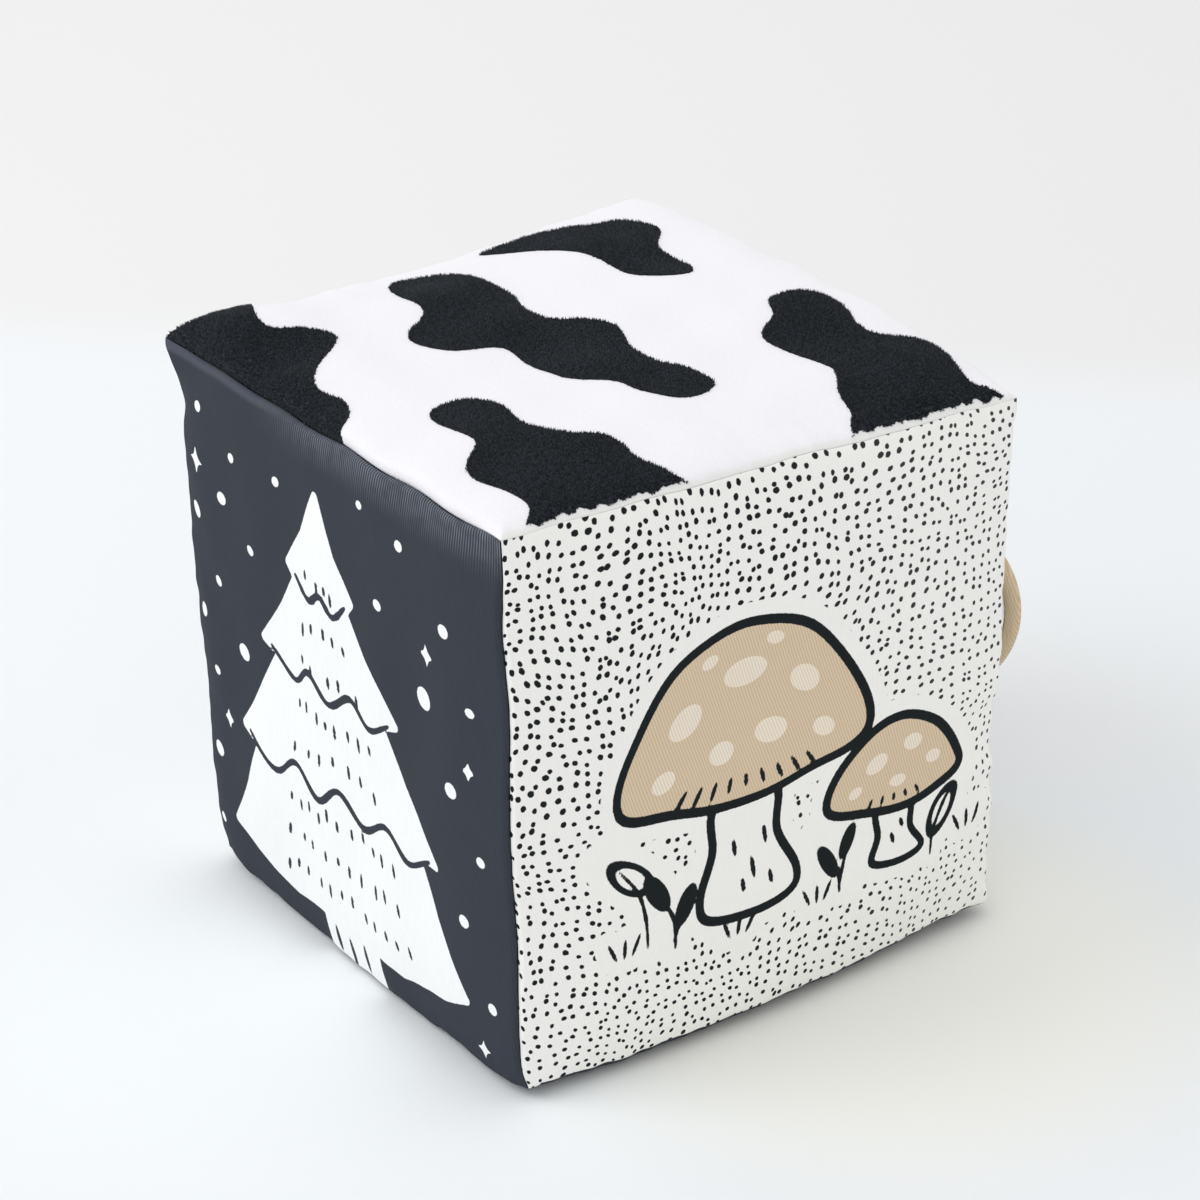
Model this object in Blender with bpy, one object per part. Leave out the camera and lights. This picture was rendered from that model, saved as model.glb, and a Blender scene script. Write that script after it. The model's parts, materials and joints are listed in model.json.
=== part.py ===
"""Soft fabric block: a sewn cover of six panels over a laminated foam cube that holds a rattle,
with a padded flap on its right side. Metres, +Z up, the front panel faces -Y.
The origin is the middle of the flat patch that the block rests on."""

from math import cos, pi, radians, sin, sqrt

import bmesh
import bpy
from mathutils import Matrix, Vector

# Cover: square panels sewn edge to edge, right sides together, and turned
SIDE = 0.140  # seam to seam
FACE_CROWN = 0.0035  # how far the middle of a face swells past its seams
EDGE_BOW = 0.0010  # how far a seam bows out at its middle
CORNER_DRAW = 0.0008  # how far a turned corner is rounded back along each axis
REST_CUT = 0.0005  # how much of the bottom crown the floor presses flat
COTTON = 0.0012
PLUSH = 0.0024
SEAM_ALLOWANCE = 0.008  # cloth turned in behind each seam
FIT_GAP = 0.0003  # between pieces that touch

# Rattle: two cups with a lapped rim round loose beads
SHELL_RADIUS = 0.015
SHELL_WALL = 0.0018
SHELL_LAP = 0.002
BEAD_RADIUS = 0.0025
BEAD_CIRCLE = 0.005  # radius of the circle that the beads lie on
BEAD_COUNT = 3

# Flap: cloth over a crinkle film, sewn down along its rear edge
FLAP_HEIGHT = 0.055
FLAP_LENGTH = 0.070
FLAP_FACE = 0.0009
FLAP_FILM = 0.0003
FLAP_LINING = 0.0010
FLAP_RIM = 0.0022  # face cloth turned over round the lining
FLAP_CURL = 0.0035  # how far the free end bends away from the block
FLAP_REST_ANGLE = radians(33)  # how far it stands open at rest
HINGE_BACK = 0.030  # its hinge lies behind the block's middle
HINGE_DROP = 0.021  # and its middle below the block's
MARGIN_WIDTH = 0.011  # strip that is sewn to the side panel
MARGIN_THICKNESS = 0.0008
MARGIN_ANGLE = radians(155)  # where the strip's edge lies round the hinge, from straight out

# Shape shares and powers
CORNER_POWER = 8  # how close to the corner the rounding starts
CROWN_POWER = 6  # how flat the middle of a face stays
SPREAD_SHARE = 0.25  # how much closer together a face's lines lie at its edges
PANEL_STEPS = 14
CORE_STEPS = 10
MARGIN_STEPS = (2, 8)
TURN_STEPS = 24
ARC_STEPS = 6
BEAD_STEPS = 2
FLAP_ARC_STEPS = 14
FLAP_SIDE_STEPS = 4
FLAP_EDGE_STEPS = 4
FLAP_RING_SHARES = (0.25, 0.5, 0.75)
WELD = 0.000001  # points closer than this are one point

SHIFT = FIT_GAP / sqrt(2)  # a panel moved out by this stands half a gap off its mitre planes
HALF = SIDE / 2 - SHIFT
TURN_IN = SEAM_ALLOWANCE / sqrt(2)  # the allowance's reach along each axis
CENTRE = Vector((0, 0, SIDE / 2 + FACE_CROWN - REST_CUT))
FLAP_ROLL = (FLAP_FACE + FLAP_FILM + FLAP_LINING) / 2 + FIT_GAP  # radius of its rounded edge
FLAP_HALF = FLAP_HEIGHT / 2 - FLAP_ROLL
FLAP_REACH = FLAP_LENGTH - FLAP_ROLL  # from the hinge to the rounded edge's middle

# The outward axis of each face and the axis across it
FACES = {
    "top": (Vector((0, 0, 1)), Vector((1, 0, 0))),
    "bottom": (Vector((0, 0, -1)), Vector((1, 0, 0))),
    "front": (Vector((0, -1, 0)), Vector((1, 0, 0))),
    "back": (Vector((0, 1, 0)), Vector((1, 0, 0))),
    "left": (Vector((-1, 0, 0)), Vector((0, 1, 0))),
    "right": (Vector((1, 0, 0)), Vector((0, 1, 0))),
}
THICKNESS = {face: PLUSH if face == "top" else COTTON for face in FACES}


def clear_scene():
    for old in list(bpy.data.objects):
        bpy.data.objects.remove(old, do_unlink=True)


def material(name, colour, roughness, metallic=0.0):
    made = bpy.data.materials.new(name)
    made.use_nodes = True
    shader = made.node_tree.nodes["Principled BSDF"]
    shader.inputs["Base Color"].default_value = (*colour, 1)
    shader.inputs["Roughness"].default_value = roughness
    shader.inputs["Metallic"].default_value = metallic
    return made


def finish(bm, name, look, parent=None):
    """Turns a bmesh into a named object with faces pointing out."""
    bmesh.ops.recalc_face_normals(bm, faces=bm.faces)
    mesh = bpy.data.meshes.new(name)
    bm.to_mesh(mesh)
    bm.free()
    mesh.shade_smooth()
    mesh.set_sharp_from_angle(angle=radians(40))
    mesh.materials.append(look)
    made = bpy.data.objects.new(name, mesh)
    made.parent = parent
    bpy.context.scene.collection.objects.link(made)
    return made


# Grids and rings


def stations(steps):
    """Places from -1 to 1, closer together towards the ends."""
    even = [2 * step / steps - 1 for step in range(steps + 1)]
    return [u * (1 + SPREAD_SHARE - SPREAD_SHARE * u * u) for u in even]


def round_the_edge(columns, rows):
    """Row and column numbers once round the edge of a grid."""
    return (
        [(0, column) for column in range(columns)]
        + [(row, columns) for row in range(rows)]
        + [(rows, column) for column in range(columns, 0, -1)]
        + [(row, 0) for row in range(rows, 0, -1)]
    )


def add_sheet(bm, place, columns, rows):
    """A grid of faces at place(s, t). Returns the vertices round its edge."""
    across, along = stations(columns), stations(rows)
    verts = [[bm.verts.new(place(s, t)) for s in across] for t in along]
    for row in range(rows):
        for column in range(columns):
            near, far = verts[row], verts[row + 1]
            bm.faces.new((near[column], near[column + 1], far[column + 1], far[column]))
    return [verts[row][column] for row, column in round_the_edge(columns, rows)]


def add_ring(bm, place, steps):
    """The vertices of place(s, t) round the edge of a face."""
    line = stations(steps)
    edge = round_the_edge(steps, steps)
    return [bm.verts.new(place(line[column], line[row])) for row, column in edge]


def join_rings(bm, *rings):
    for first, second in zip(rings, rings[1:]):
        count = len(first)
        for here in range(count):
            after = (here + 1) % count
            bm.faces.new((first[here], first[after], second[after], second[here]))


def fan(bm, ring, middle):
    for here, vert in enumerate(ring):
        bm.faces.new((vert, ring[(here + 1) % len(ring)], middle))


# Cover panels


def cover_point(s, t):
    """The outer surface of a face in its own axes, the last of which points out. The edges lie
    on the mitre planes, where the third coordinate equals the larger of the first two."""
    rounding = CORNER_DRAW * abs(s * t) ** CORNER_POWER
    bow_s = EDGE_BOW * (1 - t * t) * s * s
    bow_t = EDGE_BOW * (1 - s * s) * t * t
    crown = FACE_CROWN * (1 - abs(s) ** CROWN_POWER) * (1 - abs(t) ** CROWN_POWER)
    return Vector(
        (
            s * (HALF + bow_s - rounding),
            t * (HALF + bow_t - rounding),
            HALF + bow_s + bow_t - rounding + crown,
        )
    )


def seam_point(s, t, reach):
    """A point of a face's edge, moved down its mitre plane to the depth of reach."""
    return cover_point(s, t) * (reach / HALF)


def behind_seam(point, thickness):
    """A point that lies a thickness off the mitre planes, on the face's own side of them."""
    step = thickness / sqrt(2)
    narrower = 1 - step / point.z
    return Vector((point.x * narrower, point.y * narrower, point.z + step))


def under_cover(s, t, thickness, drop):
    """The surface a drop below the cover's, short of a wall that leaves room for the seams."""
    inside = 1 - thickness * (1 + sqrt(2)) / HALF
    point = cover_point(s * inside, t * inside)
    point.z -= drop
    return point


def face_matrix(face):
    out, across = FACES[face]
    return Matrix((across, out.cross(across), out)).transposed()


def add_panel(face, look, rest_cut=0):
    """One cover panel: the crowned cloth and the allowance that turns in along the mitre planes."""
    thickness = THICKNESS[face]
    flat = HALF + FACE_CROWN - rest_cut

    def outside(s, t):
        point = cover_point(s, t)
        point.z = min(point.z, flat)
        return point

    def lip(s, t):
        return seam_point(s, t, HALF - TURN_IN)

    bm = bmesh.new()
    outer = add_sheet(bm, outside, PANEL_STEPS, PANEL_STEPS)
    lip_front = add_ring(bm, lip, PANEL_STEPS)
    lip_back = add_ring(bm, lambda s, t: behind_seam(lip(s, t), thickness), PANEL_STEPS)
    inner = add_sheet(
        bm, lambda s, t: under_cover(s, t, thickness, thickness), PANEL_STEPS, PANEL_STEPS
    )
    join_rings(bm, outer, lip_front, lip_back, inner)
    place = Matrix.Translation(CENTRE + FACES[face][0] * SHIFT) @ face_matrix(face).to_4x4()
    bmesh.ops.transform(bm, matrix=place, verts=bm.verts)
    return finish(bm, f"{face}_panel", look)


# Foam core


def add_core_face(bm, face):
    """The foam's face under one panel, with its half of the groove that holds the allowances."""
    thickness = THICKNESS[face]
    wall = thickness + FIT_GAP * 3 / 2
    floor = HALF - TURN_IN - SHIFT / 2
    below = thickness + FIT_GAP - SHIFT
    before = set(bm.verts)
    sheet = add_sheet(
        bm, lambda s, t: under_cover(s, t, wall, below), CORE_STEPS, CORE_STEPS
    )
    foot = add_ring(bm, lambda s, t: behind_seam(seam_point(s, t, floor), wall), CORE_STEPS)
    middle = add_ring(bm, lambda s, t: seam_point(s, t, floor), CORE_STEPS)
    join_rings(bm, sheet, foot, middle)
    place = Matrix.Translation(CENTRE) @ face_matrix(face).to_4x4()
    new = [vert for vert in bm.verts if vert not in before]
    bmesh.ops.transform(bm, matrix=place, verts=new)


def add_core(name, up, look, pocket):
    """One of the two foam slabs, which are glued together at the block's middle."""
    bm = bmesh.new()
    for face in FACES:
        add_core_face(bm, face)
    bmesh.ops.remove_doubles(bm, verts=bm.verts, dist=WELD)
    everything = [*bm.verts, *bm.edges, *bm.faces]
    normal = Vector((0, 0, up))
    cut = CENTRE + normal * FIT_GAP / 2
    bmesh.ops.bisect_plane(
        bm, geom=everything, dist=WELD, plane_co=cut, plane_no=normal, clear_inner=True
    )
    bmesh.ops.edgeloop_fill(bm, edges=[edge for edge in bm.edges if edge.is_boundary])
    core = finish(bm, name, look)
    hollow = core.modifiers.new("pocket", "BOOLEAN")
    hollow.operation = "DIFFERENCE"
    hollow.solver = "EXACT"
    hollow.object = pocket
    return core


# Rattle


def turned(bm, profile):
    """A solid of revolution. The profile's points are (radius, height) and its ends are on the
    axis."""
    rings = []
    for radius, height in profile:
        if radius == 0:
            rings.append([bm.verts.new((0, 0, height))])
            continue
        angles = [2 * pi * step / TURN_STEPS for step in range(TURN_STEPS)]
        rings.append([bm.verts.new((radius * cos(a), radius * sin(a), height)) for a in angles])
    for first, second in zip(rings, rings[1:]):
        if len(first) == 1:
            fan(bm, second, first[0])
        elif len(second) == 1:
            fan(bm, first, second[0])
        else:
            join_rings(bm, first, second)


def arc(radius, high):
    """Points on a circle about the origin, from its lowest, on the axis, to the height high."""
    turns = [pi / 2 * step / ARC_STEPS for step in range(1, ARC_STEPS)]
    middle = [(radius * sin(turn), -radius * cos(turn)) for turn in turns]
    below = [point for point in middle if point[1] < high]
    return [(0, -radius)] + below + [(sqrt(radius * radius - high * high), high)]


def shell_profile(rim, step):
    """A cup below the equator: its outer wall ends at the height rim, and its inner wall at step."""
    inside = SHELL_RADIUS - SHELL_WALL
    lap = SHELL_RADIUS - SHELL_WALL / 2 + FIT_GAP / 2
    outer = arc(SHELL_RADIUS, rim)
    inner = arc(inside, step)
    return outer + [(lap, rim), (lap, step)] + inner[::-1]


def lid_profile():
    """The cup above the equator, upside down: its inner wall reaches down inside the lower one."""
    inside = SHELL_RADIUS - SHELL_WALL
    lap = SHELL_RADIUS - SHELL_WALL / 2 - FIT_GAP / 2
    outer = arc(SHELL_RADIUS, -SHELL_LAP - FIT_GAP)
    inner = arc(inside, -FIT_GAP / 2)
    return outer + [(lap, -SHELL_LAP - FIT_GAP), (lap, -FIT_GAP / 2)] + inner[::-1]


def add_turned(name, profile, look, flip=False):
    bm = bmesh.new()
    turned(bm, profile)
    if flip:
        bmesh.ops.scale(bm, vec=(1, 1, -1), verts=bm.verts)
    bmesh.ops.translate(bm, vec=CENTRE, verts=bm.verts)
    return finish(bm, name, look)


def add_pocket():
    """The hollow in the foam round the rattle."""
    radius = SHELL_RADIUS + FIT_GAP
    lower = arc(radius, 0)
    upper = [(across, -height) for across, height in lower[:-1]]
    bm = bmesh.new()
    turned(bm, lower + upper[::-1])
    bmesh.ops.translate(bm, vec=CENTRE, verts=bm.verts)
    pocket = finish(bm, "rattle_pocket_cutter", material("cutter", (1, 0, 0), 0.5))
    pocket.hide_render = True
    pocket.display_type = "WIRE"
    return pocket


def add_beads(look):
    """Loose beads on the floor of the lower cup, each with its origin at its own middle."""
    room = SHELL_RADIUS - SHELL_WALL - BEAD_RADIUS - FIT_GAP
    drop = sqrt(room * room - BEAD_CIRCLE * BEAD_CIRCLE)
    for number in range(BEAD_COUNT):
        turn = 2 * pi * number / BEAD_COUNT
        bm = bmesh.new()
        bmesh.ops.create_icosphere(bm, subdivisions=BEAD_STEPS, radius=BEAD_RADIUS)
        bead = finish(bm, f"rattle_bead_{number + 1}", look)
        aside = Vector((BEAD_CIRCLE * cos(turn), BEAD_CIRCLE * sin(turn), -drop))
        bead.location = CENTRE + aside


# Flap. In its own axes the hinge is Z, the flap reaches along -Y and X points away from the block


def flap_outline(offset):
    """The flap's edge moved out by offset, as (reach, height): a straight rear edge on the hinge,
    straight top and bottom, and a half-round free end."""
    top = FLAP_HALF + offset
    bend = FLAP_REACH - FLAP_HALF
    rear = [(-offset, -top + 2 * top * k / FLAP_EDGE_STEPS) for k in range(FLAP_EDGE_STEPS)]
    run = bend + offset
    over = [(-offset + run * k / FLAP_SIDE_STEPS, top) for k in range(FLAP_SIDE_STEPS)]
    turns = [pi / 2 - pi * k / FLAP_ARC_STEPS for k in range(FLAP_ARC_STEPS)]
    end = [(bend + top * cos(turn), top * sin(turn)) for turn in turns]
    under = [(bend - run * k / FLAP_SIDE_STEPS, -top) for k in range(FLAP_SIDE_STEPS)]
    return rear + over + end + under


def flap_place(reach, height, out):
    """Curls the free end away from the block and leaves the hinge as it is."""
    bent = FLAP_CURL * (max(reach, 0) / FLAP_REACH) ** 2
    return Vector((out + bent, -reach, height))


def flap_ring(bm, offset, out, share=1):
    """One ring of the flap's outline, drawn in towards its middle by share."""
    middle = FLAP_REACH / 2
    return [
        bm.verts.new(flap_place(middle + share * (reach - middle), share * height, out))
        for reach, height in flap_outline(offset)
    ]


def flap_plate(bm, offset, out):
    """A plate from its middle to its outline. Returns its rings from the middle outwards."""
    centre = bm.verts.new(flap_place(FLAP_REACH / 2, 0, out))
    rings = [flap_ring(bm, offset, out, share) for share in (*FLAP_RING_SHARES, 1)]
    fan(bm, rings[0], centre)
    join_rings(bm, *rings)
    return rings


def add_flap_layer(name, high, low, look, hinge):
    """A flat layer inside the face cloth's rim, between two heights."""
    bm = bmesh.new()
    inset = -FLAP_RIM - FIT_GAP
    join_rings(bm, flap_plate(bm, inset, high)[-1], flap_plate(bm, inset, low)[-1])
    return finish(bm, name, look, hinge)


def add_flap(face_look, film_look, lining_look):
    hinge = bpy.data.objects.new("flap_hinge", None)
    bpy.context.scene.collection.objects.link(hinge)
    hinge.location = hinge_place()
    hinge.rotation_euler = (0, 0, FLAP_REST_ANGLE)

    floor = FLAP_ROLL - FLAP_FACE
    bm = bmesh.new()
    front = flap_plate(bm, 0, FLAP_ROLL)[-1]
    turns = (pi / 4, 0, -pi / 4)
    rolled = [flap_ring(bm, FLAP_ROLL * cos(turn), FLAP_ROLL * sin(turn)) for turn in turns]
    back = flap_ring(bm, 0, -FLAP_ROLL)
    rim = flap_ring(bm, -FLAP_RIM, -FLAP_ROLL)
    recess = flap_plate(bm, -FLAP_RIM, floor)[-1]
    join_rings(bm, front, *rolled, back, rim, recess)
    finish(bm, "flap_face", face_look, hinge)

    film_top = floor - FIT_GAP
    film_bottom = film_top - FLAP_FILM
    add_flap_layer("flap_film", film_top, film_bottom, film_look, hinge)
    add_flap_layer("flap_lining", film_bottom - FIT_GAP, -FLAP_ROLL, lining_look, hinge)


def side_height(y, z):
    """How far the right panel's surface stands out at a place measured from its middle."""
    return cover_point(y / HALF, z / HALF).z + SHIFT


def margin_edge():
    """The front top edge of the sewn strip, from the hinge: (outwards, backwards)."""
    reach = FLAP_ROLL + FIT_GAP
    return reach * cos(MARGIN_ANGLE), reach * sin(MARGIN_ANGLE)


def hinge_place():
    """The hinge stands off the panel by the strip and the flap's roll."""
    out = side_height(HINGE_BACK, 0) + FIT_GAP + MARGIN_THICKNESS - margin_edge()[0]
    return CENTRE + Vector((out, HINGE_BACK, -HINGE_DROP))


def add_margin(look):
    """The strip that is sewn to the right panel and carries the flap."""
    front = HINGE_BACK + margin_edge()[1]

    def layer(lift):
        def place(s, t):
            y = front + (s + 1) / 2 * MARGIN_WIDTH
            z = t * FLAP_HEIGHT / 2 - HINGE_DROP
            return CENTRE + Vector((side_height(y, z) + lift, y, z))

        return place

    bm = bmesh.new()
    outer = add_sheet(bm, layer(FIT_GAP + MARGIN_THICKNESS), *MARGIN_STEPS)
    inner = add_sheet(bm, layer(FIT_GAP), *MARGIN_STEPS)
    join_rings(bm, outer, inner)
    finish(bm, "flap_margin", look)


def main():
    clear_scene()
    plush = material("white and black plush", (0.93, 0.93, 0.95), 0.95)
    dotted = material("dotted cotton", (0.82, 0.83, 0.81), 0.9)
    charcoal = material("charcoal cotton", (0.045, 0.048, 0.062), 0.88)
    plain = material("off-white cotton", (0.84, 0.84, 0.82), 0.9)
    tan = material("tan cotton", (0.6, 0.46, 0.31), 0.9)
    foam = material("polyurethane foam", (0.86, 0.82, 0.68), 1.0)
    shell = material("rattle plastic", (0.8, 0.8, 0.82), 0.35)
    bead = material("bead plastic", (0.7, 0.12, 0.1), 0.3)
    film = material("crinkle film", (0.85, 0.87, 0.9), 0.2)

    add_panel("top", plush)
    add_panel("bottom", charcoal, REST_CUT)
    add_panel("front", dotted)
    add_panel("back", dotted)
    add_panel("left", charcoal)
    add_panel("right", plain)

    pocket = add_pocket()
    add_core("core_lower", -1, foam, pocket)
    add_core("core_upper", 1, foam, pocket)

    add_turned("rattle_shell_lower", shell_profile(SHELL_LAP, -FIT_GAP / 2), shell)
    add_turned("rattle_shell_upper", lid_profile(), shell, flip=True)
    add_beads(bead)

    add_margin(tan)
    add_flap(tan, film, plain)


main()
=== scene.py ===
import json
import math

import bmesh
import bpy
import numpy as np
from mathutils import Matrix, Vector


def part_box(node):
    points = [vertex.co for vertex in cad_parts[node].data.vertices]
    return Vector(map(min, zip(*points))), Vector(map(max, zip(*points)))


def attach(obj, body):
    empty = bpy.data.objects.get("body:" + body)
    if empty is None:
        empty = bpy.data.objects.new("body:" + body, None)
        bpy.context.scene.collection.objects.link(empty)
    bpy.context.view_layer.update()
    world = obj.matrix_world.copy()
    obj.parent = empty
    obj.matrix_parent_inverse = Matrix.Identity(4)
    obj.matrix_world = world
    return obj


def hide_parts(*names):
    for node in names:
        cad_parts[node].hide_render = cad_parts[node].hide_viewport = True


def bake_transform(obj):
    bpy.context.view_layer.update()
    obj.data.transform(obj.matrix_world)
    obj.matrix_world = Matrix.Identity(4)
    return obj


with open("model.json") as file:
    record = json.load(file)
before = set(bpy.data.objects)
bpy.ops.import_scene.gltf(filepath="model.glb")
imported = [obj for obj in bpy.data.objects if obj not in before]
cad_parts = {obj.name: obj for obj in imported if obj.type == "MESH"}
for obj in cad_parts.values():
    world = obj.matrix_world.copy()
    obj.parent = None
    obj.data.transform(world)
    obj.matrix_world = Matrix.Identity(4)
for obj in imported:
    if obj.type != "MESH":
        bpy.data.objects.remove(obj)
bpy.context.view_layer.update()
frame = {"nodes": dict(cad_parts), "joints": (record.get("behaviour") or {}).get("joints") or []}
print("frame loaded")

# Cover sizes in metres, shared by every panel
cover = dict(
    side=0.140,  # seam to seam
    crown=0.0035,  # swell of a face past its seams
    crownPower=6,
    bow=0.0010,  # how far a seam bows out at its middle
    gap=0.0003,  # between two panels, across a mitre plane
    cotton=0.0012,
    plush=0.0024,
    turnIn=0.0055,  # reach of the seam allowance along each axis
    allowance=0.008,
    roll=0.0010,  # the cloth rolls in at the seam
    rollWidth=0.0019,
    flatSeam=0.2,  # share of the roll that is left where the front cloth meets the pile
    puff=0.0017,  # the pile stands this much higher than the other cloths
    puffWidth=0.0016,
    tuckedCorner=(-0.056, 0.060, 0.0046, 0.017),  # a plump place of the pile: x, y, height, radius
    pleat=0.0001,  # small gathers that run in from a seam
    pucker=0.00022,  # stronger ones on the front's far seam, and where they lie
    puckerPlace=-0.025,
    puckerReach=0.03,
    puckerWidth=0.004,
    pleatWidth=0.0075,
    pleatSpacing=0.0065,
    swell=0.0005,  # slow unevenness of the filling
    swellSpacing=0.055,
    earSize=0.006,  # the turned corners stay sharp over this reach
    earShare=0.8,  # and lose this share of the roll
    calm=0.35,  # share of the filling's unevenness that is left at the seams
    flatReach=0.006,  # how far from the front's top seam the roll is flat
    shutReach=0.002,  # and how far the two cloths close on each other
    wander=0.00035,  # seams and faces wander this far
    wanderSpacing=0.026,
    floorGap=0.0001,
)
frontLow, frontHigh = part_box("front_panel")
centre = np.array([0, 0, (frontLow[2] + frontHigh[2]) / 2])
shift = cover["gap"] / math.sqrt(2)
half = cover["side"] / 2 - shift

# How each corner of the real block departs from a cube, in millimetres, as (left or right,
# front or back, bottom or top): (x, y, z)
cornerShift = {
    (-1, -1, 1): (-0.4, 1.0, 1.3),
    (-1, 1, 1): (-0.4, 0.3, 0.3),
    (1, -1, 1): (1.8, -2.6, -3.2),
    (1, 1, 1): (-1.4, 1.9, 1.9),
    (-1, -1, -1): (0.3, 0.1, -0.6),
    (-1, 1, -1): (1.7, -1.8, -1.3),
    (1, -1, -1): (-0.7, 0.4, 0.7),
    (1, 1, -1): (0, 0, 0),
}
# And each seam at its middle, where its own axis has a 0
edgeShift = {
    (-1, 1, 0): (0.6, -0.5, 0),
    (-1, 0, 1): (0, 0, 0.2),
    (0, 1, 1): (0, -0.8, -2.2),
    (1, 0, 1): (0, 0, 2.4),
    (0, -1, -1): (-1.8, -3.0, 0.3),
    (-1, 0, -1): (1.1, 0, -1.5),
    (0, 1, -1): (0, 0.3, -1.5),
    (1, 0, -1): (0.3, 0, -1.5),
    (1, -1, 0): (-1.3, 0, 0),
}
# Places that are pushed or pulled on their own, in millimetres from the middle: where, how far
# round it, and (x, y, z)
dents = (
    ((-70, 70, 67), 5, (-1.3, 0.9, 0)),
    ((-70, 70, 55), 7, (1.2, -0.9, 0)),
    ((-70, -70, -70), 4.5, (1.6, 0, 0)),
    ((-70, 70, -70), 8, (1.1, -1.1, 1.1)),
    ((72, -20, -17), 44, (-3.4, 0, 0)),  # room for the flap to lie down
)
mm = 0.001
side = cover["side"] / mm

# Outward axis and the axis across, as seen from outside
faceAxes = {
    "top": ((0, 0, 1), (1, 0, 0)),
    "bottom": ((0, 0, -1), (1, 0, 0)),
    "front": ((0, -1, 0), (1, 0, 0)),
    "back": ((0, 1, 0), (-1, 0, 0)),
    "left": ((-1, 0, 0), (0, -1, 0)),
    "right": ((1, 0, 0), (0, 1, 0)),
}


def axesOf(face):
    # Rows are across, up and out, so a local point times this matrix is a world direction
    out, across = (np.array(axis, float) for axis in faceAxes[face])
    return np.array([across, np.cross(out, across), out])


# Shapes as arrays


def vectors(x, y, z=0.0):
    return np.stack(np.broadcast_arrays(x, y, z), axis=-1)


def unitOf(v):
    return v / np.linalg.norm(v, axis=-1, keepdims=True)


def addObject(name, data):
    added = bpy.data.objects.new(name, data)
    bpy.context.scene.collection.objects.link(added)
    return added


def readVertices(mesh, field):
    values = np.empty(len(mesh.vertices) * 3)
    mesh.vertices.foreach_get(field, values)
    return values.reshape(-1, 3)


def smoothNoise(points, spacing, seed, waves=7):
    # A sum of sine waves in random directions, about -1 to 1, one bump per spacing
    rng = np.random.RandomState(seed)
    total = np.zeros(points.shape[:-1])
    for _ in range(waves):
        direction = rng.normal(size=3)
        direction *= rng.uniform(0.7, 1.3) / np.linalg.norm(direction)
        phase = rng.uniform(0, 2 * math.pi)
        total += np.sin(points @ direction * (2 * math.pi / spacing) + phase)
    return total / math.sqrt(waves)


def stations(count, spread=0.3):
    # From -1 to 1, closer together near the ends: u(1 + k - k u^2)
    u = np.linspace(-1, 1, count + 1)
    return u * (1 + spread - spread * u * u)


def coverPoint(s, t):
    # A crowned square whose edges lie on the mitre planes and bow out at their middles:
    # crown (1 - s^6)(1 - t^6), bow (1 - t^2) s^2 and (1 - s^2) t^2
    bowS, bowT = (cover["bow"] * (1 - b * b) * a * a for a, b in ((s, t), (t, s)))
    flatS, flatT = (1 - np.abs(a) ** cover["crownPower"] for a in (s, t))
    crown = cover["crown"] * flatS * flatT
    return vectors(s * (half + bowS), t * (half + bowT), half + bowS + bowT + crown)


def awayFrom(world):
    # Directions out of a cube's points about the origin, turning evenly over its seams
    return unitOf(np.abs(world) ** 5 * np.sign(world))


def settle(world):
    # Leans the corners and bends the seams of a cube about the origin to those of the real block
    unit = np.clip(world / half, -1.1, 1.1)
    moved = world.copy()
    for sides, move in cornerShift.items():
        weight = np.prod((1 + unit * np.array(sides)) / 2, axis=-1)
        moved += weight[..., None] * np.array(move) * mm
    for sides, move in edgeShift.items():
        sides = np.array(sides)
        weight = np.prod(np.where(sides == 0, 1 - unit**2, ((1 + unit * sides) / 2) ** 3), axis=-1)
        moved += weight[..., None] * np.array(move) * mm
    for place, radius, move in dents:
        away = np.linalg.norm(world / mm - place, axis=-1)
        moved += np.exp(-((away / radius) ** 2))[..., None] * np.array(move) * mm
    for axis in range(3):
        moved[..., axis] += cover["wander"] * smoothNoise(world, cover["wanderSpacing"], 61 + axis)
    moved = moved + centre
    moved[..., 2] = np.maximum(moved[..., 2], cover["floorGap"])
    return moved


# Gathers from a cloth simulation: the six panels sewn to one cube, cut a little large and blown
# out over the foam, ten times as large as life

sewing = dict(
    cells=40,
    scale=10,
    slack=0.012,  # how much larger than the foam the cover is cut
    pressure=0.4,
    frames=36,
    looseness=0.05,  # the foam is this much smaller than the cover
    rounding=0.04,
    skin=0.005,  # how far the cloth stays off the foam
    uneven=0.0008,  # where the cloth starts, so that its folds are irregular
    smoothing=12,
    deepest=0.00035,
)
clothSettings = dict(
    quality=6,
    tension_stiffness=80,
    compression_stiffness=80,
    shear_stiffness=12,
    bending_stiffness=1.5,
    tension_damping=10,
    compression_damping=10,
    shear_damping=10,
    bending_damping=1,
    air_damping=2,
    mass=0.3,
    vertex_group_mass="corners",
    shrink_min=-sewing["slack"],
    use_pressure=True,
    uniform_pressure_force=sewing["pressure"],
)


def addFormer(size):
    # The foam that the cover is blown over
    work = bmesh.new()
    bmesh.ops.create_cube(work, size=size)
    mesh = bpy.data.meshes.new("former")
    work.to_mesh(mesh)
    work.free()
    former = addObject("former", mesh)
    former.modifiers.new("rounded", "BEVEL").width = sewing["rounding"]
    former.modifiers.new("hit", "COLLISION")
    former.collision.thickness_outer = sewing["skin"]
    return former


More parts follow.
